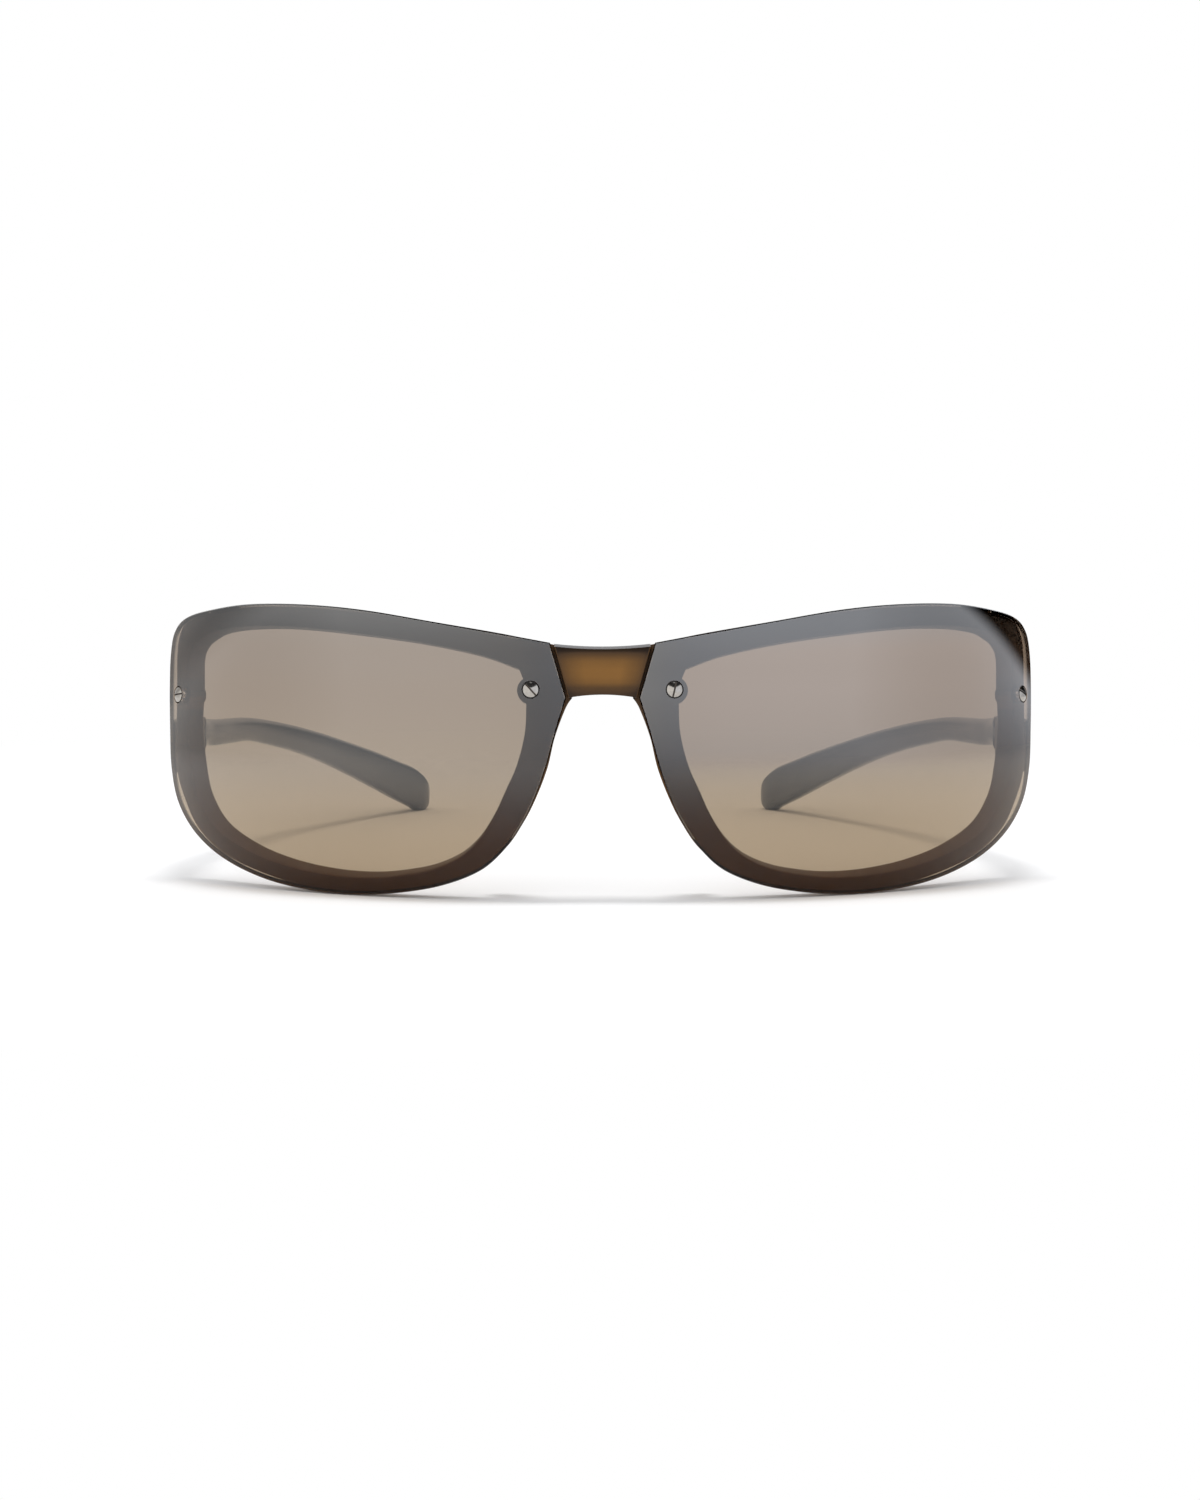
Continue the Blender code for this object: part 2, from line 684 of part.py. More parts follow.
lens_tint = finish("gradient_tinted_polycarbonate", (0.36, 0.29, 0.22), 0.05, transmission=0.8)
smoke_nylon = finish("translucent_bronze_nylon", (0.105, 0.072, 0.042), 0.35)
nickel_silver = finish("nickel_silver", (0.62, 0.60, 0.57), 0.22, metallic=1.0)
black_nylon = finish("black_nylon", (0.012, 0.012, 0.013), 0.45)
brass = finish("brass", (0.63, 0.45, 0.18), 0.30, metallic=1.0)

# The datum stands so that the whole pair is centred front to back on the origin
datum = bpy.data.objects.new("datum", None)
bpy.context.scene.collection.objects.link(datum)
datum.location.y = -(HINGE_Y + TEMPLE_REACH) / 2
head_seat = WASHER_THICKNESS + 2 * HARDWARE_GAP - SINK_DEPTH

# Front, in one piece: rims, bridge, nose pads, screw bosses, end pieces and lugs
front = add("frame_front", both_sides(rim_shape()), smoke_nylon)
half_top = stations("lens edge")[0][0] - BRIDGE_FLANK_GAP
half_bottom = BRIDGE_GAP / 2 - BRIDGE_FLANK_GAP
core = bridge_shape(half_top, half_bottom, LENS_RADIUS - BRIDGE_REVEAL, BRIDGE_BEVEL)
web_half = BRIDGE_GAP / 2 + BRIDGE_OVERLAP
web = bridge_shape(web_half, web_half, RIM_FRONT_RADIUS - RIM_CHAMFER, 0)
combine(front, "UNION", "bridge_core", core)
combine(front, "UNION", "bridge_web", web)
combine(front, "UNION", "nose_pads", both_sides(pad_shape()))
combine(front, "UNION", "end_pieces", both_sides(end_piece_shape()))
combine(front, "UNION", "hinge_lugs", both_sides(lugs_shape()))

rim_face = -LENS_THICKNESS - SEAT_GAP
pocket_floor = rim_face - INSERT_LENGTH - 2 * HARDWARE_GAP
bosses, pockets = [], []
for shares, boss_radius in (
    (NOSE_SCREW_SHARES, NOSE_BOSS_RADIUS),
    (TEMPLE_SCREW_SHARES, TEMPLE_BOSS_RADIUS),
):
    point, normal = screw_seat(shares, 1)
    boss = rod(boss_radius, pocket_floor - BOSS_FLOOR, rim_face - HARDWARE_GAP, ROUND_SIDES)
    pocket = rod(POCKET_RADIUS, pocket_floor, rim_face + SEAT_GAP, BORE_SIDES)
    bosses.append(placed(boss, point, normal))
    pockets.append(placed(pocket, point, normal))
combine(front, "UNION", "screw_bosses", both_sides(together(*bosses)))
combine(front, "DIFFERENCE", "insert_pockets", both_sides(together(*pockets)))

hinge_at = (HINGE_X, HINGE_Y, HINGE_Z)
tongue_slot = rod(KNUCKLE_RADIUS + HINGE_CLEARANCE, -LUG_FOOT, LUG_FOOT, BORE_SIDES)
combine(front, "DIFFERENCE", "tongue_slots", both_sides(placed(tongue_slot, hinge_at)))
head_floor = LUG_TOP - HINGE_HEAD_HEIGHT - HARDWARE_GAP
insert_foot = HARDWARE_GAP - LUG_TOP
insert_roof = insert_foot + HINGE_INSERT_HEIGHT + HARDWARE_GAP
stepped_bore = lathe(
    (
        (0, ROOT_HEIGHT),
        (HINGE_HEAD_RADIUS + HARDWARE_GAP, ROOT_HEIGHT),
        (HINGE_HEAD_RADIUS + HARDWARE_GAP, head_floor),
        (BORE_RADIUS, head_floor),
        (BORE_RADIUS, insert_roof),
        (POCKET_RADIUS, insert_roof),
        (POCKET_RADIUS, -ROOT_HEIGHT),
        (0, -ROOT_HEIGHT),
    ),
    BORE_SIDES,
)
combine(front, "DIFFERENCE", "hinge_bores", both_sides(placed(stepped_bore, hinge_at)))

for side, wearer in ((-1, "right"), (1, "left")):
    lens = add(f"lens_{wearer}", on_side(lens_shape(), side), lens_tint)
    for place, shares in (("nose", NOSE_SCREW_SHARES), ("temple", TEMPLE_SCREW_SHARES)):
        point, normal = screw_seat(shares, side)
        combine(lens, "DIFFERENCE", f"lens_hole_{place}_{wearer}", sunk_hole(), point, normal)

        washer = tube(WASHER_RADIUS, BORE_RADIUS, 0, WASHER_THICKNESS, ROUND_SIDES)
        washer_at = point + normal * (HARDWARE_GAP - SINK_DEPTH)
        add(f"lens_washer_{place}_{wearer}", washer, black_nylon, washer_at, normal)

        length = head_seat + LENS_THICKNESS + SEAT_GAP + SCREW_GRIP
        body = screw_shape(SCREW_RADIUS, SCREW_HEAD_RADIUS, SCREW_HEAD_HEIGHT, length)
        screw_at = point + normal * head_seat
        screw = add(f"lens_screw_{place}_{wearer}", body, nickel_silver, screw_at, normal)
        slot = slot_shape(SCREW_HEAD_RADIUS, SCREW_HEAD_HEIGHT, SLOT_TURNS[place, side])
        combine(screw, "DIFFERENCE", f"screw_slot_{place}_{wearer}", slot, screw_at, normal)

        insert = tube(INSERT_RADIUS, BORE_RADIUS, -INSERT_LENGTH, 0, ROUND_SIDES)
        insert_at = point - normal * (LENS_THICKNESS + SEAT_GAP + HARDWARE_GAP)
        add(f"lens_insert_{place}_{wearer}", insert, brass, insert_at, normal)

    axis_at = (side * HINGE_X, HINGE_Y, HINGE_Z)
    temple = add(f"temple_{wearer}", on_side(temple_shape(), side), smoke_nylon, axis_at)
    cut_flat(temple, -HINGE_Z)
    knuckle_half = TONGUE_HEIGHT / 2
    clearing = KNUCKLE_RADIUS + HINGE_CLEARANCE
    above = rod(clearing, knuckle_half, ROOT_HEIGHT, BORE_SIDES)
    below = rod(clearing, -ROOT_HEIGHT, -knuckle_half, BORE_SIDES)
    combine(temple, "DIFFERENCE", f"lug_clearance_{wearer}", together(above, below), axis_at)
    tongue_half = knuckle_half - HARDWARE_GAP / 2
    tongue = rod(KNUCKLE_RADIUS, -tongue_half, tongue_half, ROUND_SIDES)
    combine(temple, "UNION", f"tongue_{wearer}", tongue, axis_at)
    tongue_bore = rod(BORE_RADIUS, -ROOT_HEIGHT, ROOT_HEIGHT, BORE_SIDES)
    combine(temple, "DIFFERENCE", f"tongue_bore_{wearer}", tongue_bore, axis_at)

    insert = tube(INSERT_RADIUS, BORE_RADIUS, 0, HINGE_INSERT_HEIGHT, ROUND_SIDES)
    add(f"hinge_insert_{wearer}", insert, brass, (side * HINGE_X, HINGE_Y, HINGE_Z + insert_foot))
    head_seat_z = head_floor + HARDWARE_GAP
    length = head_seat_z - insert_foot
    body = screw_shape(SCREW_RADIUS, HINGE_HEAD_RADIUS, HINGE_HEAD_HEIGHT, length)
    screw_at = (side * HINGE_X, HINGE_Y, HINGE_Z + head_seat_z)
    screw = add(f"hinge_screw_{wearer}", body, nickel_silver, screw_at)
    slot = slot_shape(HINGE_HEAD_RADIUS, HINGE_HEAD_HEIGHT, side * HINGE_SLOT_TURN)
    combine(screw, "DIFFERENCE", f"hinge_slot_{wearer}", slot, screw_at)
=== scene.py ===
"""Looks of the wraparound sunglasses: fine lenses, front, temples and hardware on the frame."""
import math

import bmesh
import bpy
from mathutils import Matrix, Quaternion, Vector


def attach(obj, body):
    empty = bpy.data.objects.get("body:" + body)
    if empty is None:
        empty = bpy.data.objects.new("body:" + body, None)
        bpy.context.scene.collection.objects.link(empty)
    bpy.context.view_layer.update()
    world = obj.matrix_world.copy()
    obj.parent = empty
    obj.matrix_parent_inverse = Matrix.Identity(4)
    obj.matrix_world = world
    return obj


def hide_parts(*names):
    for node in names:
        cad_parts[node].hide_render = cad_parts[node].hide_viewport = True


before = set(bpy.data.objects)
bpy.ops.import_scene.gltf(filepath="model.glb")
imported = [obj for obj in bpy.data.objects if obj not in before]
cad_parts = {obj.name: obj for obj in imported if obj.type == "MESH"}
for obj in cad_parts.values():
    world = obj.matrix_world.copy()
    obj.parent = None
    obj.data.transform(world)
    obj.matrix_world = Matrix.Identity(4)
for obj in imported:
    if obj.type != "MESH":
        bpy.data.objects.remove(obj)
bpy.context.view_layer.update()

# Driving sizes, in metres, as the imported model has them
LENS_WIDTH = 0.0624
LENS_HEIGHT = 0.0443
LENS_THICKNESS = 0.0022
LENS_WRAP = math.radians(59.53)
LENS_AXIS_OFFSET = 0.0097
LENS_AXIS_HEIGHT = LENS_HEIGHT * 0.52
BRIDGE_GAP = 0.0101
BRIDGE_OVERLAP = 0.0042
BRIDGE_REVEAL = 0.0001
BRIDGE_EXTRA_DEPTH = 0.0006
BRIDGE_TOP_SAG = 0.0004
SEAT_GAP = 0.0003
RIM_DEPTH = 0.0028
NOSE_BOSS_RADIUS = 0.00205
BOSS_FLOOR = 0.0007
PAD_LENGTH = 0.0132
PAD_THICKNESS = 0.003
PAD_REACH = 0.0088
PAD_FLARE = 0.0014
PAD_INSET = 0.0004
PAD_HEIGHT_SHARE = 0.31
PAD_TILT = math.radians(26)
ROOT_HEIGHT = 0.0052
ROOT_THICKNESS = 0.0044
KNUCKLE_RADIUS = 0.00155
TONGUE_HEIGHT = 0.0019
HINGE_CLEARANCE = 0.0002
HINGE_HEAD_RADIUS = 0.001
HINGE_HEAD_HEIGHT = 0.00045
HINGE_INSERT_HEIGHT = 0.001
HINGE_SLOT_TURN = math.radians(30)
TEMPLE_INSET = 0.00105
END_PIECE_STEP = 0.0024
END_PIECE_DROP = 0.0031
BUTT_GAP = 0.0002
TEMPLE_DRAW_IN = 0.0339
PADDLE_HEIGHT = 0.0072
PADDLE_THICKNESS = 0.0028
SCREW_RADIUS = 0.0007
SCREW_HEAD_RADIUS = 0.00115
SCREW_GRIP = 0.0018
HOLE_RADIUS = 0.0008
SINK_RADIUS = 0.00135
SINK_DEPTH = 0.0006
WASHER_RADIUS = 0.00125
WASHER_THICKNESS = 0.00025
INSERT_RADIUS = 0.00105
INSERT_LENGTH = 0.002
HARDWARE_GAP = 0.0001

# Easings and fits of the finer shapes, in metres. The lenses stand a hair behind the foremost
# point of the frame, inside its box
LENS_SETBACK = 0.00004
LENS_EASING = 0.0002
RIM_OUTER_EASING = 0.0002
RIM_INNER_EASING = 0.00025
RIM_BACK_ROUND = 0.0006
BRIDGE_EASING = 0.00018
BRIDGE_TOP_DROP = 0.0006
BRIDGE_ARCH_RISE = 0.00045
BRIDGE_TOP_FLANK_GAP = 0.00062
BRIDGE_FOOT_FLANK_GAP = 0.00033
WEB_SETBACK = 0.0003
WEB_SINK = 0.0009
PAD_BITE = 0.0003
TEMPLE_BOSS_RADIUS = 0.0014
BOSS_EASING = 0.0004
POCKET_RADIUS = 0.00108
END_PIECE_EASING = 0.0005
END_PIECE_SETBACK = 0.0006
END_PIECE_BITE = 0.0003
CORNER_TUCK = 0.0001
CORNER_PULL = 0.0005
CORNER_END_SHARE = 0.62
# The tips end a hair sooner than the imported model's, to stay inside its box
TEMPLE_REACH = 0.09849
ROOT_ROUND = 0.0005
TEMPLE_ROUND = 0.0019
TEMPLE_ROUND_START = 0.006
SECTION_ROUND_SHARE = 0.42
WASHER_EASING = 0.00005
INSERT_EASING = 0.00006
OVERRUN = 0.001
SAME_PLACE = 0.00001

# Divisions of the finer shapes
OUTLINE_STEPS = 8
TEMPLE_STEPS = 8
LENS_RINGS = 22
ARC_STEPS = 4
SECTION_ARC_STEPS = 6
CORNER_STEPS = 6
BRIDGE_COLUMNS, BRIDGE_ROWS = 32, 12
PAD_SIDES, PAD_STEPS = 40, 5
ROUND_SIDES = 48

LENS_OUTER = BRIDGE_GAP / 2 + LENS_WIDTH
LENS_RADIUS = (LENS_OUTER - LENS_AXIS_OFFSET) / math.sin(LENS_WRAP)
LENS_BACK_RADIUS = LENS_RADIUS - LENS_THICKNESS
RIM_FRONT_RADIUS = LENS_BACK_RADIUS - SEAT_GAP
RIM_BACK_RADIUS = RIM_FRONT_RADIUS - RIM_DEPTH
DATUM_Y = -0.0716635
LENS_CENTRE = Vector((LENS_AXIS_OFFSET, LENS_RADIUS + DATUM_Y + LENS_SETBACK, LENS_AXIS_HEIGHT))
HINGE_X, HINGE_Y, HINGE_Z = 0.0636, -0.0268365, 0.0220171
TEMPLE_OUTER = LENS_OUTER - TEMPLE_INSET
TEMPLE_INNER = TEMPLE_OUTER - ROOT_THICKNESS
LUG_TOP = ROOT_HEIGHT / 2 - HARDWARE_GAP
LUG_FOOT = TONGUE_HEIGHT / 2 + HINGE_CLEARANCE
# Along a lens screw, from the lens's front
HEAD_SEAT = WASHER_THICKNESS + 2 * HARDWARE_GAP - SINK_DEPTH
RIM_FACE = -LENS_THICKNESS - SEAT_GAP
POCKET_FLOOR = RIM_FACE - INSERT_LENGTH - 2 * HARDWARE_GAP

SIDES = ((-1, "right"), (1, "left"))
# Clockwise from the lens's upper bridge corner: lens edge, rim's outer and inner walls,
# each across in lens widths and up in lens heights
WALLS = ("lens edge", "rim outer", "rim inner")
OUTLINE_SHARES = (
    (0.0457, 0.886, 0.034, 0.875, 0.120, 0.792),
    (0.156, 0.914, 0.156, 0.911, 0.208, 0.836),
    (0.326, 0.953, 0.326, 0.949, 0.342, 0.874),
    (0.499, 0.988, 0.499, 0.983, 0.493, 0.899),
    (0.650, 1.000, 0.648, 0.991, 0.658, 0.914),
    (0.792, 0.991, 0.783, 0.979, 0.783, 0.906),
    (0.898, 0.960, 0.884, 0.945, 0.860, 0.884),
    (0.959, 0.926, 0.937, 0.906, 0.893, 0.860),
    (0.988, 0.874, 0.957, 0.854, 0.918, 0.829),
    (0.998, 0.799, 0.963, 0.789, 0.930, 0.782),
    (1.000, 0.688, 0.963, 0.680, 0.930, 0.680),
    (0.999, 0.542, 0.964, 0.542, 0.934, 0.546),
    (0.996, 0.395, 0.964, 0.395, 0.924, 0.397),
    (0.978, 0.272, 0.942, 0.285, 0.907, 0.295),
    (0.932, 0.169, 0.907, 0.189, 0.862, 0.200),
    (0.858, 0.090, 0.842, 0.112, 0.778, 0.132),
    (0.754, 0.034, 0.738, 0.056, 0.680, 0.091),
    (0.633, 0.0055, 0.626, 0.022, 0.574, 0.070),
    (0.520, 0.001, 0.517, 0.017, 0.480, 0.068),
    (0.408, 0.017, 0.406, 0.031, 0.401, 0.082),
    (0.304, 0.049, 0.304, 0.060, 0.329, 0.106),
    (0.214, 0.104, 0.214, 0.108, 0.264, 0.150),
    (0.155, 0.181, 0.152, 0.180, 0.216, 0.214),
    (0.113, 0.268, 0.110, 0.268, 0.179, 0.299),
    (0.084, 0.352, 0.080, 0.352, 0.153, 0.380),
    (0.057, 0.456, 0.052, 0.456, 0.126, 0.467),
    (0.036, 0.562, 0.034, 0.562, 0.107, 0.572),
    (0.0165, 0.655, 0.008, 0.660, 0.103, 0.664),
    (0.0064, 0.700, -0.008, 0.695, 0.104, 0.736),
)
SCREW_SHARES = {"nose": (0.0925, 0.728), "temple": (0.975, 0.659)}
SLOT_TURNS = {
    ("nose", -1): math.radians(-48),
    ("nose", 1): math.radians(77),
    ("temple", -1): math.radians(12),
    ("temple", 1): math.radians(-35),
}
# Temple stations: back, in, height of the middle, height and thickness as shares of
# the root's and of the paddle's
TEMPLE_SHARES = (
    (0.000, 0.000, 1.000, 1.00, 0.00, 1.00, 0.00),
    (0.025, 0.002, 0.995, 0.96, 0.00, 0.95, 0.00),
    (0.060, 0.004, 0.987, 0.88, 0.00, 0.84, 0.00),
    (0.112, 0.015, 0.969, 0.83, 0.00, 0.75, 0.00),
    (0.172, 0.053, 0.940, 0.78, 0.03, 0.65, 0.09),
    (0.254, 0.102, 0.920, 0.68, 0.08, 0.56, 0.19),
    (0.355, 0.177, 0.894, 0.55, 0.14, 0.45, 0.33),
    (0.457, 0.268, 0.827, 0.45, 0.25, 0.34, 0.47),
    (0.558, 0.375, 0.742, 0.32, 0.38, 0.23, 0.64),
    (0.660, 0.495, 0.633, 0.20, 0.54, 0.13, 0.80),
    (0.761, 0.628, 0.500, 0.10, 0.72, 0.05, 0.92),
    (0.843, 0.743, 0.380, 0.03, 0.88, 0.00, 1.00),
    (0.904, 0.838, 0.280, 0.00, 0.97, 0.00, 1.00),
    (0.950, 0.914, 0.204, 0.00, 1.00, 0.00, 1.00),
    (0.973, 0.955, 0.150, 0.00, 0.98, 0.00, 0.96),
    (0.991, 0.985, 0.127, 0.00, 0.74, 0.00, 0.82),
    (1.000, 1.000, 0.124, 0.00, 0.36, 0.00, 0.55),
)
# Nose pad sections: how far back and out they stand, their length and thickness
PAD_SHARES = (
    (0.00, 0.00, 0.86, 1.00),
    (0.30, 0.22, 1.00, 1.00),
    (0.60, 0.52, 1.00, 0.90),
    (0.86, 0.84, 0.86, 0.70),
    (0.97, 0.97, 0.66, 0.46),
    (1.00, 1.00, 0.46, 0.20),
)

# Height share and strength of the mirror coat, on the wearer's right and left lens
MIRROR_RIGHT = (
    (0.12, 0.06), (0.16, 0.07), (0.20, 0.09), (0.25, 0.13), (0.32, 0.20), (0.39, 0.30), (0.45, 0.37),
    (0.52, 0.39), (0.59, 0.43), (0.72, 0.47), (0.80, 0.52), (0.86, 0.53), (0.91, 0.61), (0.95, 0.71),
    (1.0, 0.80),
)
MIRROR_LEFT = (
    (0.14, 0.06), (0.20, 0.08), (0.25, 0.10), (0.32, 0.16), (0.39, 0.26), (0.45, 0.40), (0.52, 0.55),
    (0.59, 0.67), (0.66, 0.75), (0.72, 0.82), (0.80, 0.82), (0.86, 0.89), (0.90, 0.95), (0.95, 1.0),
    (1.0, 1.0),
)
# What the dye and the coat together let through, by strength of the coat
LENS_TINT = (
    (0.0, "b09c81"), (0.35, "9f8f7b"), (0.46, "948474"), (0.55, "8f8072"), (0.87, "8d7967"),
    (1.0, "857567"),
)
LENS_EDGE = "554b42"

# Painted light and shade in the nylon's colour, standing in for light coming through it. The middle
# of the bridge is brightest, with painted shade towards its flanks, top and foot; given from its own
# middle out to its flanks and by height share; its half width grows upwards from a height where it is
# known
PAINTED_BRIDGE_LIGHT_ACROSS = ((0.0, 1.0), (0.45, 1.0), (0.80, 0.62), (0.93, 0.42), (1.0, 0.25))
PAINTED_BRIDGE_LIGHT_UPWARDS = (
    (0.715, 0.12), (0.735, 0.3), (0.75, 0.8), (0.77, 1.0), (0.796, 1.0), (0.823, 0.78), (0.844, 0.28),
    (0.857, 0.03),
)
PAINTED_BRIDGE_LIGHT_FOOT, PAINTED_BRIDGE_LIGHT_HALF, PAINTED_BRIDGE_LIGHT_SPREAD = 0.0310, 0.0050, 0.276
# Painted light in patches on the rims' outer sides, from 57.5 to 59 mm out, by height share
PAINTED_SIDE_LIGHT_START, PAINTED_SIDE_LIGHT_FULL = 0.0575, 0.0590
PAINTED_SIDE_LIGHT = (
    (0.36, 0.0), (0.40, 0.35), (0.44, 0.0), (0.595, 0.0), (0.61, 0.8), (0.645, 0.8), (0.66, 0.05),
    (0.70, 0.05), (0.715, 0.6), (0.80, 0.6), (0.86, 0.0),
)
# Everywhere else by height share: painted light in the rims, less of it upwards;
# the temples stay at the mass colour all over
PAINTED_RIM_LIGHT = ((0.25, 0.75), (0.40, 0.5), (0.60, 0.3), (0.85, 0.2), (0.92, 0.02))
PAINTED_TEMPLE_LIGHT = ((0.0, 0.12), (1.0, 0.12))

# The room as reflections see it: wall light by how far aside, ceiling darkness by how far up
ROOM_LEVEL = 1.12
WALL_LIGHT = ((0.0, 0.9), (0.3, 0.98), (0.57, 1.0), (0.8, 0.99), (0.91, 0.82), (1.0, 0.66))
CEILING_DARK = ((0.0, 0.0), (0.43, 0.0), (0.50, 0.97), (0.90, 0.97), (0.95, 0.3))
# Where a doorway's edge starts to darken and where it is darkest, how dark that is, and how far
# out its side starts and is full
DOORWAYS = ((0.43, 0.52, 1.0, 0.4, 0.6), (0.30, 0.52, 0.5, -0.4, -0.6))
DOORWAY_SLANT = 0.8
CEILING_DIP = -0.25
# How far back the ceiling has ended and how far back it is still full
CEILING_END, CEILING_FULL = 0.8, 0.5
# From where to where across the walls turn cooler
COOL_START, COOL_FULL = -0.15, 0.15

# The paper sweep shows its shadows out to the first distance and is pure white from the second
FLOOR_HALF = 3.0
SHADOW_END, WHITE_START = 0.14, 0.24
FILL_LEVEL = 0.80

# The photograph's width and focal length in its own pixels, and how the camera stood
PHOTO_WIDTH, PHOTO_FOCAL_LENGTH = 1200, 5325
SENSOR_MM = 36.0
CAMERA_DISTANCE = 0.8
CAMERA_RISE, CAMERA_YAW = math.radians(5.0), math.radians(-0.5)
CAMERA_AIM = Vector((-0.0004, DATUM_Y, 0.0232))


def sphere_y(x, z, radius):
    """Depth of a sphere about a lens's centre at x and z."""
    across, up = abs(x) - LENS_AXIS_OFFSET, z - LENS_AXIS_HEIGHT
    return LENS_CENTRE.y - math.sqrt(radius**2 - across**2 - up**2)


def towards(x, z, radius):
    """Direction from a lens's centre to a point of a sphere about it, given from the front."""
    return (Vector((x, sphere_y(x, z, radius), z)) - LENS_CENTRE).normalized()


def spline(points, steps):
    """Points along a smooth curve through the given ones, ends included."""
    curve = []
    last = len(points) - 1
    for i in range(last):
        before, start = points[max(i - 1, 0)], points[i]
        end, after = points[i + 1], points[min(i + 2, last)]
        for step in range(steps):
            t = step / steps
            curve.append(
                tuple(
                    b + t * (c - a) / 2
                    + t * t * (a - 5 * b / 2 + 2 * c - d / 2)
                    + t * t * t * (3 * (b - c) + d - a) / 2
                    for a, b, c, d in zip(before, start, end, after)
                )
            )
    return curve + [tuple(points[last])]


def outline(wall):
    """Closed outline (x, z) of one wall on the +X side."""
    column = WALLS.index(wall) * 2
    points = [
        (BRIDGE_GAP / 2 + row[column] * LENS_WIDTH, row[column + 1] * LENS_HEIGHT)
        for row in OUTLINE_SHARES
    ]
    curve = spline(points, OUTLINE_STEPS)
    (x0, z0), (x1, z1) = curve[-1], curve[0]
    for step in range(1, OUTLINE_STEPS):
        t = step / OUTLINE_STEPS
        curve.append((x0 + t * (x1 - x0), z0 + t * (z1 - z0)))
    return curve


def crossings(wall, z):
    """Where a wall's outline stands at height z, across."""
    points = outline(wall)
    return [
        x0 + (x1 - x0) * (z - z0) / (z1 - z0)
        for (x0, z0), (x1, z1) in zip(points, points[1:])
        if (z0 - z) * (z1 - z) < 0
    ]


def strip(a, b):
    """Quads between two closed rows of vertex numbers."""
    return [(a[i - 1], a[i], b[i], b[i - 1]) for i in range(len(a))]


def loft(rings, closed=False):
    """Quads between rings of equal length, capped at both ends unless closed."""
    count = len(rings[0])
    verts = [point for ring in rings for point in ring]
    rows = [range(start, start + count) for start in range(0, len(verts), count)]
    faces = []
    for a, b in zip(rows, rows[1:]):
        faces += strip(a, b)
    faces += strip(rows[-1], rows[0]) if closed else [tuple(rows[0]), tuple(reversed(rows[-1]))]
    return verts, faces


def lathe(profile):
    """Solid turned about local Z from (radius, height) points; ends lie on the axis."""
    verts, faces, rings = [], [], []
    for radius, height in profile:
        if radius == 0:
            rings.append([len(verts)])
            verts.append((0, 0, height))
            continue
        rings.append(list(range(len(verts), len(verts) + ROUND_SIDES)))
        for k in range(ROUND_SIDES):
            turn = 2 * math.pi * k / ROUND_SIDES
            verts.append((radius * math.cos(turn), radius * math.sin(turn), height))
    for upper, lower in zip(rings, rings[1:]):
        for k in range(ROUND_SIDES):
            ring = [upper[k % len(upper)], lower[k % len(lower)]]
            ring += [lower[(k + 1) % len(lower)], upper[(k + 1) % len(upper)]]
            faces.append(tuple(dict.fromkeys(ring)))
    return verts, faces


def rod(radius, bottom, top):
    return lathe(((0, top), (radius, top), (radius, bottom), (0, bottom)))


def mirrored(shape):
    verts, faces = shape
    return [(-x, y, z) for x, y, z in verts], [tuple(reversed(f)) for f in faces]


def on_side(shape, side):
    """The solid as made, on the +X side, or its mirror image."""
    return shape if side > 0 else mirrored(shape)


def together(*shapes):
    verts, faces = [], []
    for more_verts, more_faces in shapes:
        base = len(verts)
        verts += more_verts
        faces += [tuple(base + i for i in face) for face in more_faces]
    return verts, faces


def both_sides(shape):
    return together(shape, mirrored(shape))


def placed(shape, at, axis=Vector((0, 0, 1))):
    """The solid with its local Z turned along axis and its origin moved to at."""
    verts, faces = shape
    turn = axis.to_track_quat("Z", "Y")
    return [tuple(turn @ Vector(v) + Vector(at)) for v in verts], faces


def add_object(name, data):
    body = bpy.data.objects.new(name, data)
    bpy.context.scene.collection.objects.link(body)
    return body


def turned_out(mesh):
    """Points a closed mesh's faces outwards."""
    bm = bmesh.new()
    bm.from_mesh(mesh)
    bmesh.ops.recalc_face_normals(bm, faces=bm.faces)
    bm.to_mesh(mesh)
    bm.free()


def smoothed(mesh, degrees):
    """Shades a mesh smooth, but for edges sharper than the angle."""
    mesh.shade_smooth()
    mesh.set_sharp_from_angle(angle=math.radians(degrees))


def piece(name, shape, materials):
    """A mesh object at the origin, its faces turned outwards."""
    mesh = bpy.data.meshes.new(name)
    mesh.from_pydata(shape[0], [], shape[1])
    turned_out(mesh)
    for material in materials:
        mesh.materials.append(material)
    return add_object(name, mesh)


def combine(body, operation, shape):
    other = piece(body.name + "_tool", shape, list(body.data.materials)[:1])
    modifier = body.modifiers.new(other.name, "BOOLEAN")
    modifier.operation = operation
    modifier.solver = "EXACT"
    modifier.object = other


def baked(body):
    """Turns an object's modifiers into a plain mesh, removes what they used, gives the mesh."""
    helpers = [m.object for m in body.modifiers if m.type == "BOOLEAN"]
    finished = body.evaluated_get(bpy.context.evaluated_depsgraph_get())
    mesh = bpy.data.meshes.new_from_object(finished)
    body.modifiers.clear()
    body.data = mesh
    for helper in helpers:
        bpy.data.objects.remove(helper)
    return mesh


def linear(code):
    """sRGB hex code to linear RGBA."""
    values = [int(code[i : i + 2], 16) / 255 for i in (0, 2, 4)]
    shares = [v / 12.92 if v <= 0.04045 else ((v + 0.055) / 1.055) ** 2.4 for v in values]
    return (*shares, 1.0)


def numbers(table):
    """Ramp stops that carry plain numbers."""
    return [(position, (value, value, value, 1)) for position, value in table]


def colours(table):
    """Ramp stops that carry hex colours."""
    return [(position, linear(code)) for position, code in table]


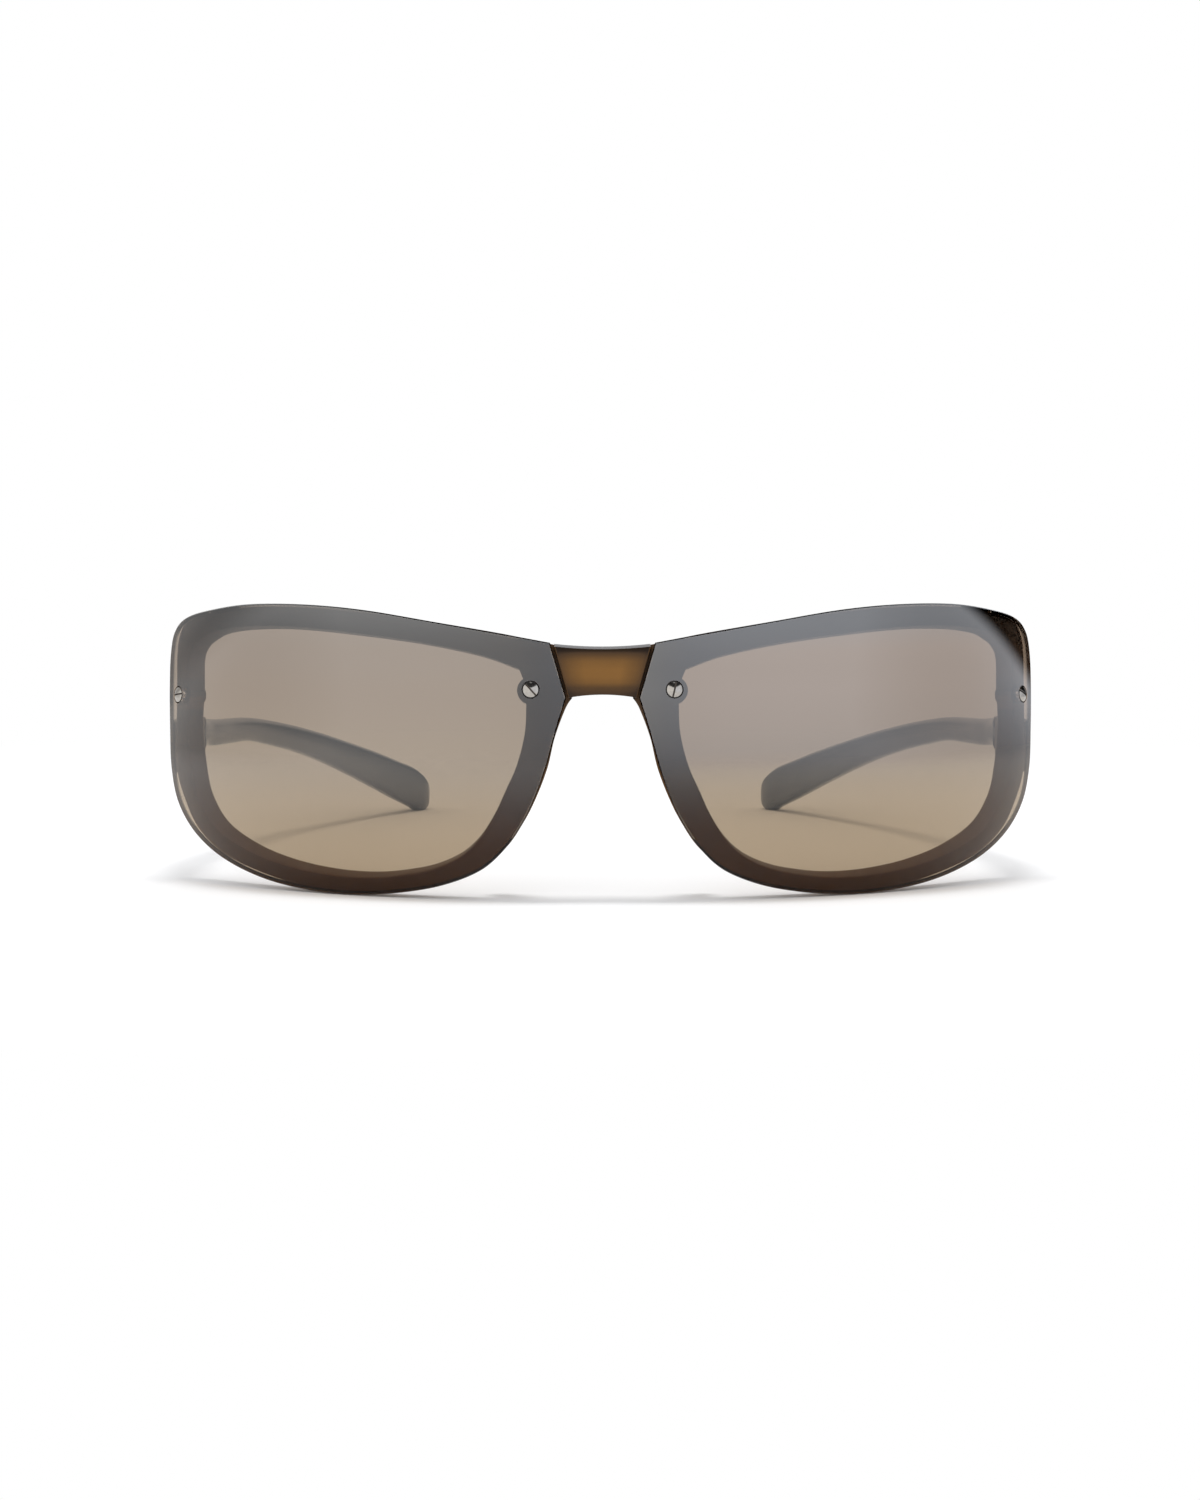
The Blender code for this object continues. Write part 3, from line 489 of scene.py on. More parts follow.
def node(tree, kind, *feeds, **settings):
    """Adds a node with its settings and links, and gives its outputs. Feeds are values or the
    outputs of other nodes, for its inputs in their order or, in a dictionary, by name or
    number."""
    made = tree.nodes.new(kind)
    for key, value in settings.items():
        if key != "stops":
            setattr(made, key, value)
            continue
        elements = made.color_ramp.elements
        while len(elements) < len(value):
            elements.new(0.5)
        for element, (position, colour) in zip(elements, value):
            element.position = position
            element.color = colour
    inputs = {}
    for number, feed in enumerate(feeds):
        inputs |= feed if isinstance(feed, dict) else {number: feed}
    for key, value in inputs.items():
        for source in value if isinstance(value, list) else [value]:
            if isinstance(source, bpy.types.bpy_prop_collection):
                source = source[0]
            if isinstance(source, bpy.types.NodeSocket):
                tree.links.new(source, made.inputs[key])
            else:
                made.inputs[key].default_value = source
    return made.outputs


def new_material(name):
    """Empty material, its tree, and where on the object the shaded point is."""
    material = bpy.data.materials.new(name)
    material.use_nodes = True
    tree = material.node_tree
    tree.nodes.clear()
    return material, tree, node(tree, "ShaderNodeTexCoord")["Object"]


def lens_material(name, face):
    """Polycarbonate dyed brown. The front carries a vacuum coat, a faint mirror that thins out
    downwards: grey and shiny at the top, plain brown at the foot. Both faces are bloomed against
    stray flashes. Light leaves dark at the cut edge."""
    material, tree, place = new_material(name)
    split = node(tree, "ShaderNodeSeparateXYZ", place)
    level = node(tree, "ShaderNodeMath", split["Z"], LENS_HEIGHT, operation="DIVIDE")
    left = node(tree, "ShaderNodeMath", split["X"], 0.0, operation="GREATER_THAN")
    # each lens has its own coating run, so the mirror thins out sooner on one
    on_right = node(tree, "ShaderNodeValToRGB", level, stops=numbers(MIRROR_RIGHT))
    on_left = node(tree, "ShaderNodeValToRGB", level, stops=numbers(MIRROR_LEFT))
    coat = node(tree, "ShaderNodeMix", {0: left, 6: on_right, 7: on_left}, data_type="RGBA")
    coat = coat["Result"]
    tint = node(tree, "ShaderNodeValToRGB", coat, stops=colours(LENS_TINT))
    inputs = {
        "Base Color": tint, "Roughness": 0.0, "IOR": 1.586, "Transmission Weight": 1.0,
        "Specular Tint": linear("7c7c7c"),
    }
    if face == "front":
        inputs |= {"Coat Weight": coat, "Coat Roughness": 0.0, "Coat IOR": 2.6}
    if face == "edge":
        inputs["Base Color"] = linear(LENS_EDGE)
    shader = node(tree, "ShaderNodeBsdfPrincipled", inputs)
    if face != "edge":
        # lamps shine through the dye instead of casting a black shadow; they cross two faces,
        # so each lets through the root of the tint
        root = node(tree, "ShaderNodeGamma", tint, 0.5)
        clear = node(tree, "ShaderNodeBsdfTransparent", root)
        path = node(tree, "ShaderNodeLightPath")
        lamps = node(
            tree, "ShaderNodeMath", path["Is Shadow Ray"], path["Is Diffuse Ray"], operation="MAXIMUM"
        )
        shader = node(tree, "ShaderNodeMixShader", lamps, shader, clear)
    node(tree, "ShaderNodeOutputMaterial", shader)
    return material


def nylon_material(name, mass, painted_light_by_height, polish, roughness):
    """Injection-moulded smoke-brown nylon, dark in the mass, with light through it painted into its
    colour:
    painted amber light at the bridge and at the rims' outer sides, painted shade darker than the mass
    at the bridge's edges, and elsewhere as the painted-light table by height says. Satin on the
    front, polished on the temples, which therefore pick up the grey of the room."""
    material, tree, place = new_material(name)
    split = node(tree, "ShaderNodeSeparateXYZ", place)
    aside = node(tree, "ShaderNodeMath", split["X"], operation="ABSOLUTE")
    level = node(tree, "ShaderNodeMath", split["Z"], LENS_HEIGHT, operation="DIVIDE")
    # half the bridge's width at each height, and how far out the point stands in it
    rise = node(tree, "ShaderNodeMath", split["Z"], PAINTED_BRIDGE_LIGHT_FOOT, operation="SUBTRACT")
    half = node(
        tree, "ShaderNodeMath", rise, PAINTED_BRIDGE_LIGHT_SPREAD, PAINTED_BRIDGE_LIGHT_HALF, operation="MULTIPLY_ADD"
    )
    half = node(tree, "ShaderNodeMath", half, 0.0001, operation="MAXIMUM")
    out = node(tree, "ShaderNodeMath", aside, half, operation="DIVIDE")
    across = node(tree, "ShaderNodeValToRGB", out, stops=numbers(PAINTED_BRIDGE_LIGHT_ACROSS))
    upwards = node(tree, "ShaderNodeValToRGB", level, stops=numbers(PAINTED_BRIDGE_LIGHT_UPWARDS))
    outer = node(
        tree, "ShaderNodeMapRange", aside, PAINTED_SIDE_LIGHT_START, PAINTED_SIDE_LIGHT_FULL,
        interpolation_type="SMOOTHSTEP",
    )
    sides = node(tree, "ShaderNodeValToRGB", level, stops=numbers(PAINTED_SIDE_LIGHT))
    elsewhere = node(tree, "ShaderNodeMath", out, 1.0, operation="GREATER_THAN")
    rest = node(tree, "ShaderNodeValToRGB", level, stops=numbers(painted_light_by_height))
    # painted light and shade: the strongest mask sets where the colour stands between painted shade,
    # the mass and painted amber light
    painted_light = 0.0
    for where, strength in ((across, upwards), (outer, sides), (elsewhere, rest)):
        painted_glow = node(tree, "ShaderNodeMath", where, strength, operation="MULTIPLY")
        painted_light = node(tree, "ShaderNodeMath", painted_light, painted_glow, operation="MAXIMUM")
    # painted shade at the dark end, the mass colour in the middle, painted light at the amber end
    tones = colours(((0.0, "1c120b"), (0.12, mass), (1.0, "835c2d")))
    tone = node(tree, "ShaderNodeValToRGB", painted_light, stops=tones)
    # clouds of dye some 4 mm wide
    cloud = node(tree, "ShaderNodeTexNoise", {"Vector": place, "Scale": 260.0, "Detail": 3.0})
    dye = node(tree, "ShaderNodeValToRGB", cloud, stops=numbers(((0.3, 0.92), (0.7, 1.0))))
    colour = node(
        tree, "ShaderNodeMix", {0: 1.0, 6: tone, 7: dye}, data_type="RGBA", blend_type="MULTIPLY"
    )
    # mould grain, some 0.17 mm wide
    grain = node(tree, "ShaderNodeTexNoise", {"Vector": place, "Scale": 6000.0, "Detail": 2.0})
    bump = node(tree, "ShaderNodeBump", {"Height": grain, "Strength": 0.08, "Distance": 0.00002})
    shader = node(tree, "ShaderNodeBsdfPrincipled", {
        "Base Color": colour["Result"], "Normal": bump, "Roughness": roughness, "IOR": 1.53,
        "Specular IOR Level": 0.15 + 0.7 * polish, "Coat Weight": polish, "Coat Roughness": 0.2,
    })
    node(tree, "ShaderNodeOutputMaterial", shader)
    return material


def metal_material(name, light, dark, roughness):
    """Turned metal, bright and a little streaked by the tool, with painted shade that dulls the
    floors of the slots.
    """
    material, tree, place = new_material(name)
    # tool marks, some 0.4 mm wide
    cloud = node(tree, "ShaderNodeTexNoise", {"Vector": place, "Scale": 2500.0, "Detail": 2.0})
    tone = node(tree, "ShaderNodeValToRGB", cloud, stops=colours(((0.3, dark), (0.7, light))))
    # painted shade darkens the floors of the slots, where the screw tree marks them
    sunk = node(tree, "ShaderNodeAttribute", attribute_name="sunk")["Fac"]
    colour = node(tree, "ShaderNodeMix", {0: sunk, 6: tone, 7: linear("4a443e")}, data_type="RGBA")
    rough = node(tree, "ShaderNodeMapRange", cloud, 0.0, 1.0, roughness * 0.8, roughness * 1.25)
    shader = node(tree, "ShaderNodeBsdfPrincipled", {
        "Base Color": colour["Result"], "Roughness": rough, "Metallic": 1.0,
    })
    node(tree, "ShaderNodeOutputMaterial", shader)
    return material


def washer_material(name):
    """Black nylon, matt from its fine moulded grain: a dark ring that sets each bright head off."""
    material, tree, place = new_material(name)
    # grain some 0.2 mm wide
    grain = node(tree, "ShaderNodeTexNoise", {"Vector": place, "Scale": 5000.0, "Detail": 2.0})
    tones = colours(((0.3, "161617"), (0.7, "202022")))
    tone = node(tree, "ShaderNodeValToRGB", grain, stops=tones)
    shader = node(
        tree, "ShaderNodeBsdfPrincipled", {"Base Color": tone, "Roughness": 0.45, "IOR": 1.53}
    )
    node(tree, "ShaderNodeOutputMaterial", shader)
    return material


def lens_shape():
    """Spherical shell, finely divided, its edge cut square to its surface with eased corners."""
    edge = [towards(x, z, LENS_RADIUS) for x, z in outline("lens edge")]
    count = len(edge)
    middle = sum(edge, Vector()).normalized()
    inwards = []
    for i, way in enumerate(edge):
        tangent = (edge[(i + 1) % count] - edge[i - 1]).normalized()
        across = tangent.cross(way).normalized()
        inwards.append(-across if across.dot(middle - way) < 0 else across)
    verts, faces = [], []

    def ring(radius, inset, share):
        """Numbers of a new row of points, a share of the way from the middle to the edge."""
        for way, across in zip(edge, inwards):
            near = (way + across * (inset / LENS_RADIUS)).normalized()
            verts.append(tuple(LENS_CENTRE + radius * middle.lerp(near, share).normalized()))
        return range(len(verts) - count, len(verts))

    wall = []
    for radius in (LENS_RADIUS, LENS_BACK_RADIUS):
        rows = [ring(radius, LENS_EASING, 1 - k / LENS_RINGS) for k in range(LENS_RINGS)]
        for a, b in zip(rows, rows[1:]):
            faces += strip(a, b)
        hub = len(verts)
        verts.append(tuple(LENS_CENTRE + radius * middle))
        faces += [(rows[-1][i - 1], rows[-1][i], hub) for i in range(count)]
        wall.append(rows[0])
    wall[1:1] = [ring(LENS_RADIUS - LENS_EASING, 0, 1), ring(LENS_BACK_RADIUS + LENS_EASING, 0, 1)]
    for a, b in zip(wall, wall[1:]):
        faces += strip(a, b)
    return verts, faces


def lens_centre(side):
    return Vector((side * LENS_CENTRE.x, LENS_CENTRE.y, LENS_CENTRE.z))


def screw_seat(place, side):
    """Point on the lens front where a screw stands, and the outward normal there."""
    across, up = SCREW_SHARES[place]
    x, z = BRIDGE_GAP / 2 + across * LENS_WIDTH, up * LENS_HEIGHT
    point = Vector((side * x, sphere_y(x, z, LENS_RADIUS), z))
    return point, (point - lens_centre(side)).normalized()


def add_lens(side, wearer):
    """A lens with its two screw holes, shaded as two true spheres with a dark cut edge."""
    name = f"lens_{wearer}_polished"
    lens = piece(name, on_side(lens_shape(), side), [lens_front, lens_body, lens_edge])
    through = -LENS_THICKNESS - OVERRUN
    hole = lathe((
        (0, OVERRUN), (SINK_RADIUS, OVERRUN), (SINK_RADIUS, -SINK_DEPTH),
        (HOLE_RADIUS, -SINK_DEPTH), (HOLE_RADIUS, through), (0, through),
    ))
    for place in SCREW_SHARES:
        combine(lens, "DIFFERENCE", placed(hole, *screw_seat(place, side)))
    mesh = baked(lens)
    smoothed(mesh, 25)
    centre = lens_centre(side)
    normals = [Vector(n.vector) for n in mesh.corner_normals]
    seats = [screw_seat(place, side)[0] for place in SCREW_SHARES]
    hole_reach = LENS_THICKNESS + OVERRUN
    for polygon in mesh.polygons:
        away = [(mesh.vertices[i].co - centre) for i in polygon.vertices]
        on_front = all(abs(v.length - LENS_RADIUS) < SAME_PLACE for v in away)
        on_back = all(abs(v.length - LENS_BACK_RADIUS) < SAME_PLACE for v in away)
        in_hole = min((polygon.center - seat).length for seat in seats) < hole_reach
        polygon.material_index = 0 if on_front else 1 if on_back or in_hole else 2
        if on_front or on_back:
            for loop, v in zip(polygon.loop_indices, away):
                normals[loop] = v.normalized() * (1 if on_front else -1)
    mesh.normals_split_custom_set(normals)
    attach(lens, "front")
    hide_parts(f"lens_{wearer}")


def rim_shape():
    """Band behind a lens, its walls square to the lens and all four edges rounded."""
    rings = []
    for outer, inner in zip(outline("rim outer"), outline("rim inner")):
        out, within = towards(*outer, RIM_FRONT_RADIUS), towards(*inner, RIM_FRONT_RADIUS)
        across = (within - out).normalized()
        # way from the lens's centre, radius, towards the band's middle, towards the face, rounding
        corners = (
            (out, RIM_FRONT_RADIUS, across, -out, RIM_OUTER_EASING),
            (out, RIM_BACK_RADIUS, across, out, RIM_BACK_ROUND),
            (within, RIM_BACK_RADIUS, -across, within, RIM_BACK_ROUND),
            (within, RIM_FRONT_RADIUS, -across, -within, RIM_INNER_EASING),
        )
        ring = []
        for number, (way, radius, middle, deeper, rounding) in enumerate(corners):
            hub = LENS_CENTRE + way * radius + (middle + deeper) * rounding
            for k in range(ARC_STEPS + 1):
                share = k / ARC_STEPS
                turn = math.pi / 2 * (share if number % 2 == 0 else 1 - share)
                # from the band's face round to its wall
                spoke = deeper * math.cos(turn) + middle * math.sin(turn)
                ring.append(tuple(hub - spoke * rounding))
        rings.append(ring)
    return loft(rings, closed=True)


def bridge_shape(half_top, half_bottom, front_radius, round_off):
    """Block between the rims; its front follows the curve of the lens fronts, edges rounded.
    Without rounding it is the web, whose back sinks into the rims beyond the bridge."""
    top = OUTLINE_SHARES[0][1] * LENS_HEIGHT - BRIDGE_TOP_DROP
    bottom = OUTLINE_SHARES[-1][1] * LENS_HEIGHT
    rows, columns = BRIDGE_ROWS, BRIDGE_COLUMNS
    back_radius = RIM_BACK_RADIUS - BRIDGE_EXTRA_DEPTH
    half_gap = BRIDGE_GAP / 2

    def point(row, column, radius, inset):
        up, t = row / rows, 2 * column / columns - 1
        x = t * (half_bottom + up * (half_top - half_bottom) - inset)
        low = bottom + BRIDGE_ARCH_RISE * (1 - t * t) + inset
        high = top - BRIDGE_TOP_SAG * (1 - t * t) - inset
        z = low + up * (high - low)
        y = sphere_y(LENS_AXIS_OFFSET, z, radius)
        if radius == back_radius and not round_off:
            beyond = min(1, max(0, (abs(x) - half_gap) / (half_bottom - half_gap)))
            y -= (BRIDGE_EXTRA_DEPTH + WEB_SINK) * beyond * beyond * (3 - 2 * beyond)
        return x, y, z

    # depth and inset of each layer, from the front through its rounded edge to the back
    layers = []
    for k in range(ARC_STEPS + 1) if round_off else [0]:
        turn = math.pi / 2 * k / ARC_STEPS
        depth = front_radius - round_off * (1 - math.cos(turn))
        layers.append((depth, round_off * (1 - math.sin(turn))))
    layers.append((back_radius, 0))
    face = [(r, c) for r in range(rows + 1) for c in range(columns + 1)]
    border = [(0, c) for c in range(columns)] + [(r, columns) for r in range(rows)]
    border += [(rows, columns - c) for c in range(columns)] + [(rows - r, 0) for r in range(rows)]
    verts, faces, walls = [], [], []
    for radius, inset in layers:
        capped = (radius, inset) in (layers[0], layers[-1])
        spots = face if capped else border
        at = {spot: len(verts) + i for i, spot in enumerate(spots)}
        verts += [point(*spot, radius, inset) for spot in spots]
        walls.append([at[spot] for spot in border])
        for r in range(rows if capped else 0):
            for c in range(columns):
                faces.append((at[r, c], at[r, c + 1], at[r + 1, c + 1], at[r + 1, c]))
    for a, b in zip(walls, walls[1:]):
        faces += strip(a, b)
    return verts, faces


def pad_shape():
    """Nose pad, a soft-edged fin that leaves the rim's nose flank towards the face."""
    pad_z = PAD_HEIGHT_SHARE * LENS_HEIGHT
    root_x = min(crossings("rim outer", pad_z)) + PAD_INSET + PAD_THICKNESS / 2
    rings = []
    for reach, flare, long, wide in spline(PAD_SHARES, PAD_STEPS):
        ring = []
        for k in range(PAD_SIDES):
            turn = 2 * math.pi * k / PAD_SIDES
            along = long * PAD_LENGTH / 2 * math.sin(turn)
            out = wide * PAD_THICKNESS / 2 * math.cos(turn)
            x = root_x + out * math.cos(PAD_TILT) - along * math.sin(PAD_TILT)
            z = pad_z + out * math.sin(PAD_TILT) + along * math.cos(PAD_TILT)
            y = sphere_y(x, z, RIM_FRONT_RADIUS) + PAD_BITE + reach * PAD_REACH
            ring.append((x + flare * PAD_FLARE, y, z))
        rings.append(ring)
    return loft(rings)


def end_piece_ring(foot, drop):
    """Plan of an end piece at height foot, whose front hangs lower by drop."""
    stop_y = HINGE_Y - BUTT_GAP / 2
    clear_y = HINGE_Y - (HINGE_X - TEMPLE_INNER) - HINGE_CLEARANCE
    front_z = foot - drop
    flank = towards(max(crossings("rim outer", front_z)), front_z, RIM_FRONT_RADIUS)
    within = towards(max(crossings("rim inner", front_z)), front_z, RIM_FRONT_RADIUS)
    start = LENS_CENTRE + (flank + within).normalized() * (RIM_FRONT_RADIUS - RIM_DEPTH / 2)
    edge = LENS_CENTRE + flank * (RIM_FRONT_RADIUS - END_PIECE_SETBACK)
    plan = [(start.x, start.y), (edge.x, edge.y)]
    # the outer front corner turns back in one soft curve
    corner = (
        (edge.x, edge.y),
        (TEMPLE_OUTER - CORNER_TUCK, edge.y + CORNER_PULL),
        (TEMPLE_OUTER, edge.y + END_PIECE_STEP * CORNER_END_SHARE),
    )
    for k in range(1, CORNER_STEPS + 1):
        t = k / CORNER_STEPS
        shares = ((1 - t) ** 2, 2 * t * (1 - t), t * t)
        plan.append(tuple(sum(s * p[axis] for s, p in zip(shares, corner)) for axis in (0, 1)))
    plan += [
        (TEMPLE_OUTER, stop_y),
        (HINGE_X, stop_y),
        (HINGE_X, clear_y),
        (TEMPLE_INNER, clear_y),
        (TEMPLE_INNER, sphere_y(TEMPLE_INNER, front_z, RIM_BACK_RADIUS + END_PIECE_BITE)),
    ]
    slope = drop / (stop_y - start.y)
    return [(x, y, foot - slope * (stop_y - y)) for x, y in plan]


def end_piece_shape():
    """Block from the rim's outer flank back to the temple, deepest in front, stepped at the
    hinge."""
    lower = end_piece_ring(HINGE_Z - ROOT_HEIGHT / 2, END_PIECE_DROP)
    upper = end_piece_ring(HINGE_Z + ROOT_HEIGHT / 2, 0)
    levels = []
    for k in range(ARC_STEPS + 1):
        turn = math.pi / 2 * k / ARC_STEPS
        levels.append((1 - math.sin(turn), 1 - math.cos(turn)))
    rings = []
    for from_top in (False, True):
        for inset, off in reversed(levels) if from_top else levels:
            ring = []
            for (x0, y0, z0), (x1, y1, z1) in zip(lower, upper):
                share = off * END_PIECE_EASING / (z1 - z0)
                share = 1 - share if from_top else share
                x, y = x0 + (x1 - x0) * share, y0 + (y1 - y0) * share
                # only the outer face draws in with the easing; the inner ones meet other walls
                x -= inset * END_PIECE_EASING if x > HINGE_X + CORNER_TUCK else 0
                ring.append((x, y, z0 + (z1 - z0) * share))
            rings.append(ring)
    return loft(rings)


def lugs_shape():
    upper, lower = rod(KNUCKLE_RADIUS, LUG_FOOT, LUG_TOP), rod(KNUCKLE_RADIUS, -LUG_TOP, -LUG_FOOT)
    return placed(together(upper, lower), (HINGE_X, HINGE_Y, HINGE_Z))


def boss_shape(place, radius):
    """Round stub behind the rim for a lens screw's insert, its end eased."""
    face, floor = RIM_FACE - HARDWARE_GAP, POCKET_FLOOR - BOSS_FLOOR
    profile = [(0, face), (radius, face)]
    profile += [
        (radius - inset * BOSS_EASING, floor + off * BOSS_EASING)
        for inset, off in ((0, 1), (0.3, 0.3), (1, 0))
    ]
    return placed(lathe(profile + [(0, floor)]), *screw_seat(place, 1))


def add_front():
    """The moulded front: rims, bridge, nose pads, bosses, end pieces and hinge lugs."""
    half_top = BRIDGE_GAP / 2 + OUTLINE_SHARES[0][0] * LENS_WIDTH - BRIDGE_TOP_FLANK_GAP
    half_bottom = BRIDGE_GAP / 2 + OUTLINE_SHARES[-1][0] * LENS_WIDTH - BRIDGE_FOOT_FLANK_GAP
    core = bridge_shape(half_top, half_bottom, LENS_RADIUS - BRIDGE_REVEAL, BRIDGE_EASING)
    web_half = BRIDGE_GAP / 2 + BRIDGE_OVERLAP
    web = bridge_shape(web_half, web_half, RIM_FRONT_RADIUS - WEB_SETBACK, 0)
    bosses = together(
        boss_shape("nose", NOSE_BOSS_RADIUS), boss_shape("temple", TEMPLE_BOSS_RADIUS)
    )
    front = piece("front_moulded", both_sides(rim_shape()), [satin_nylon])
    combine(front, "UNION", core)
    combine(front, "UNION", web)
    for shape in (pad_shape(), end_piece_shape(), lugs_shape(), bosses):
        combine(front, "UNION", both_sides(shape))

    pocket = rod(POCKET_RADIUS, POCKET_FLOOR, RIM_FACE + SEAT_GAP)
    pockets = together(*[placed(pocket, *screw_seat(place, 1)) for place in SCREW_SHARES])
    tongue_slot = rod(KNUCKLE_RADIUS + HINGE_CLEARANCE, -LUG_FOOT, LUG_FOOT)
    head_floor = LUG_TOP - HINGE_HEAD_HEIGHT - HARDWARE_GAP
    insert_roof = 2 * HARDWARE_GAP - LUG_TOP + HINGE_INSERT_HEIGHT
    head_hole, insert_hole = HINGE_HEAD_RADIUS + HARDWARE_GAP, INSERT_RADIUS + HARDWARE_GAP
    bore = lathe((
        (0, ROOT_HEIGHT), (head_hole, ROOT_HEIGHT), (head_hole, head_floor),
        (HOLE_RADIUS, head_floor), (HOLE_RADIUS, insert_roof), (insert_hole, insert_roof),
        (insert_hole, -ROOT_HEIGHT), (0, -ROOT_HEIGHT),
    ))
    hinge_at = (HINGE_X, HINGE_Y, HINGE_Z)
    for shape in (pockets, placed(tongue_slot, hinge_at), placed(bore, hinge_at)):
        combine(front, "DIFFERENCE", both_sides(shape))
    smoothed(baked(front), 28)
    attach(front, "front")
    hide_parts("frame_front")


def rounded_section(half_width, half_height, corner):
    """Rectangle whose corners are arcs."""
    points = []
    for sx, sz, start in ((1, 1, 0), (-1, 1, 90), (-1, -1, 180), (1, -1, 270)):
        for step in range(SECTION_ARC_STEPS + 1):
            turn = math.radians(start + 90 * step / SECTION_ARC_STEPS)
            x = sx * (half_width - corner) + corner * math.cos(turn)
            points.append((x, sz * (half_height - corner) + corner * math.sin(turn)))
    return points


def temple_shape():
    """Temple swept from the hinge back to its tip, on the +X side."""
    stations = []
    for back, inwards, middle, root, paddle, root_thick, paddle_thick in TEMPLE_SHARES:
        stations.append(
            (
                BUTT_GAP / 2 + back * (TEMPLE_REACH - BUTT_GAP / 2),
                (TEMPLE_OUTER + TEMPLE_INNER) / 2 - inwards * TEMPLE_DRAW_IN,
                middle * HINGE_Z,
                root * ROOT_HEIGHT + paddle * PADDLE_HEIGHT,
                root_thick * ROOT_THICKNESS + paddle_thick * PADDLE_THICKNESS,
            )
        )
    curve = spline(stations, TEMPLE_STEPS)
    rings = []
    for i, (y, x, z, height, thickness) in enumerate(curve):
        ahead, behind = curve[min(i + 1, len(curve) - 1)], curve[max(i - 1, 0)]
        run = Vector((ahead[1] - behind[1], ahead[0] - behind[0])).normalized()
        if i == 0:
            run = Vector((0, 1))
        # the root is nearly square where it meets the end piece, and rounder from there back
        blend = min(1.0, y / TEMPLE_ROUND_START) if i else 0
        corner = ROOT_ROUND + blend * (TEMPLE_ROUND - ROOT_ROUND)
        corner = min(corner, SECTION_ROUND_SHARE * min(thickness, height))
        ring = []
        for out, up in rounded_section(thickness / 2, height / 2, corner):
            ring.append((x + out * run.y, HINGE_Y + y - out * run.x, z + up))
        rings.append(ring)
    return loft(rings)


def cut_flat(mesh):
    """Trims a mesh at the floor and closes it with a flat."""
    bm = bmesh.new()
    bm.from_mesh(mesh)
    everything = bm.verts[:] + bm.edges[:] + bm.faces[:]
    bmesh.ops.bisect_plane(
        bm, geom=everything, plane_co=(0, 0, 0), plane_no=(0, 0, -1), clear_outer=True
    )
    bmesh.ops.edgeloop_fill(bm, edges=[e for e in bm.edges if e.is_boundary])
    bm.to_mesh(mesh)
    bm.free()
    turned_out(mesh)


def add_temple(side, wearer):
    """A temple with its hinge tongue, cleared for the lugs and bored for the screw."""
    temple = piece(f"temple_{wearer}_moulded", on_side(temple_shape(), side), [polished_nylon])
    cut_flat(temple.data)
    at = (side * HINGE_X, HINGE_Y, HINGE_Z)
    half = TONGUE_HEIGHT / 2
    clearing = KNUCKLE_RADIUS + HINGE_CLEARANCE
    above, below = rod(clearing, half, ROOT_HEIGHT), rod(clearing, -ROOT_HEIGHT, -half)
    combine(temple, "DIFFERENCE", placed(together(above, below), at))
    tongue_half = half - HARDWARE_GAP / 2
    combine(temple, "UNION", placed(rod(KNUCKLE_RADIUS, -tongue_half, tongue_half), at))
    combine(temple, "DIFFERENCE", placed(rod(HOLE_RADIUS, -ROOT_HEIGHT, ROOT_HEIGHT), at))
    smoothed(baked(temple), 28)
    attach(temple, f"temple_{wearer}")
    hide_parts(f"temple_{wearer}")


def node_tree(name, sizes):
    """Geometry tree with a geometry, a material and the named sizes as its inputs."""
    tree = bpy.data.node_groups.new(name, "GeometryNodeTree")
    sockets = {"Geometry": "NodeSocketGeometry", "Material": "NodeSocketMaterial"}
    for label, kind in (sockets | dict.fromkeys(sizes, "NodeSocketFloat")).items():
        tree.interface.new_socket(label, in_out="INPUT", socket_type=kind)
    tree.interface.new_socket("Geometry", in_out="OUTPUT", socket_type="NodeSocketGeometry")
    return tree, node(tree, "NodeGroupInput")


def stand_on_points(tree, sizes, shape):
    """Puts the shape on every point, turned as the point says, and ends the tree."""
    turned = node(tree, "GeometryNodeInputNamedAttribute", "turn", data_type="QUATERNION")
    copies = node(tree, "GeometryNodeInstanceOnPoints", {
        "Points": sizes["Geometry"], "Instance": shape, "Rotation": turned["Attribute"],
    })
    real = node(tree, "GeometryNodeRealizeInstances", copies)
    finish = node(
        tree, "GeometryNodeSetMaterial", {"Geometry": real, "Material": sizes["Material"]}
    )
    node(tree, "NodeGroupOutput", finish)


def raised(tree, shape, height):
    lift = node(tree, "ShaderNodeCombineXYZ", {"Z": height})
    return node(tree, "GeometryNodeTransform", {"Geometry": shape, "Translation": lift})


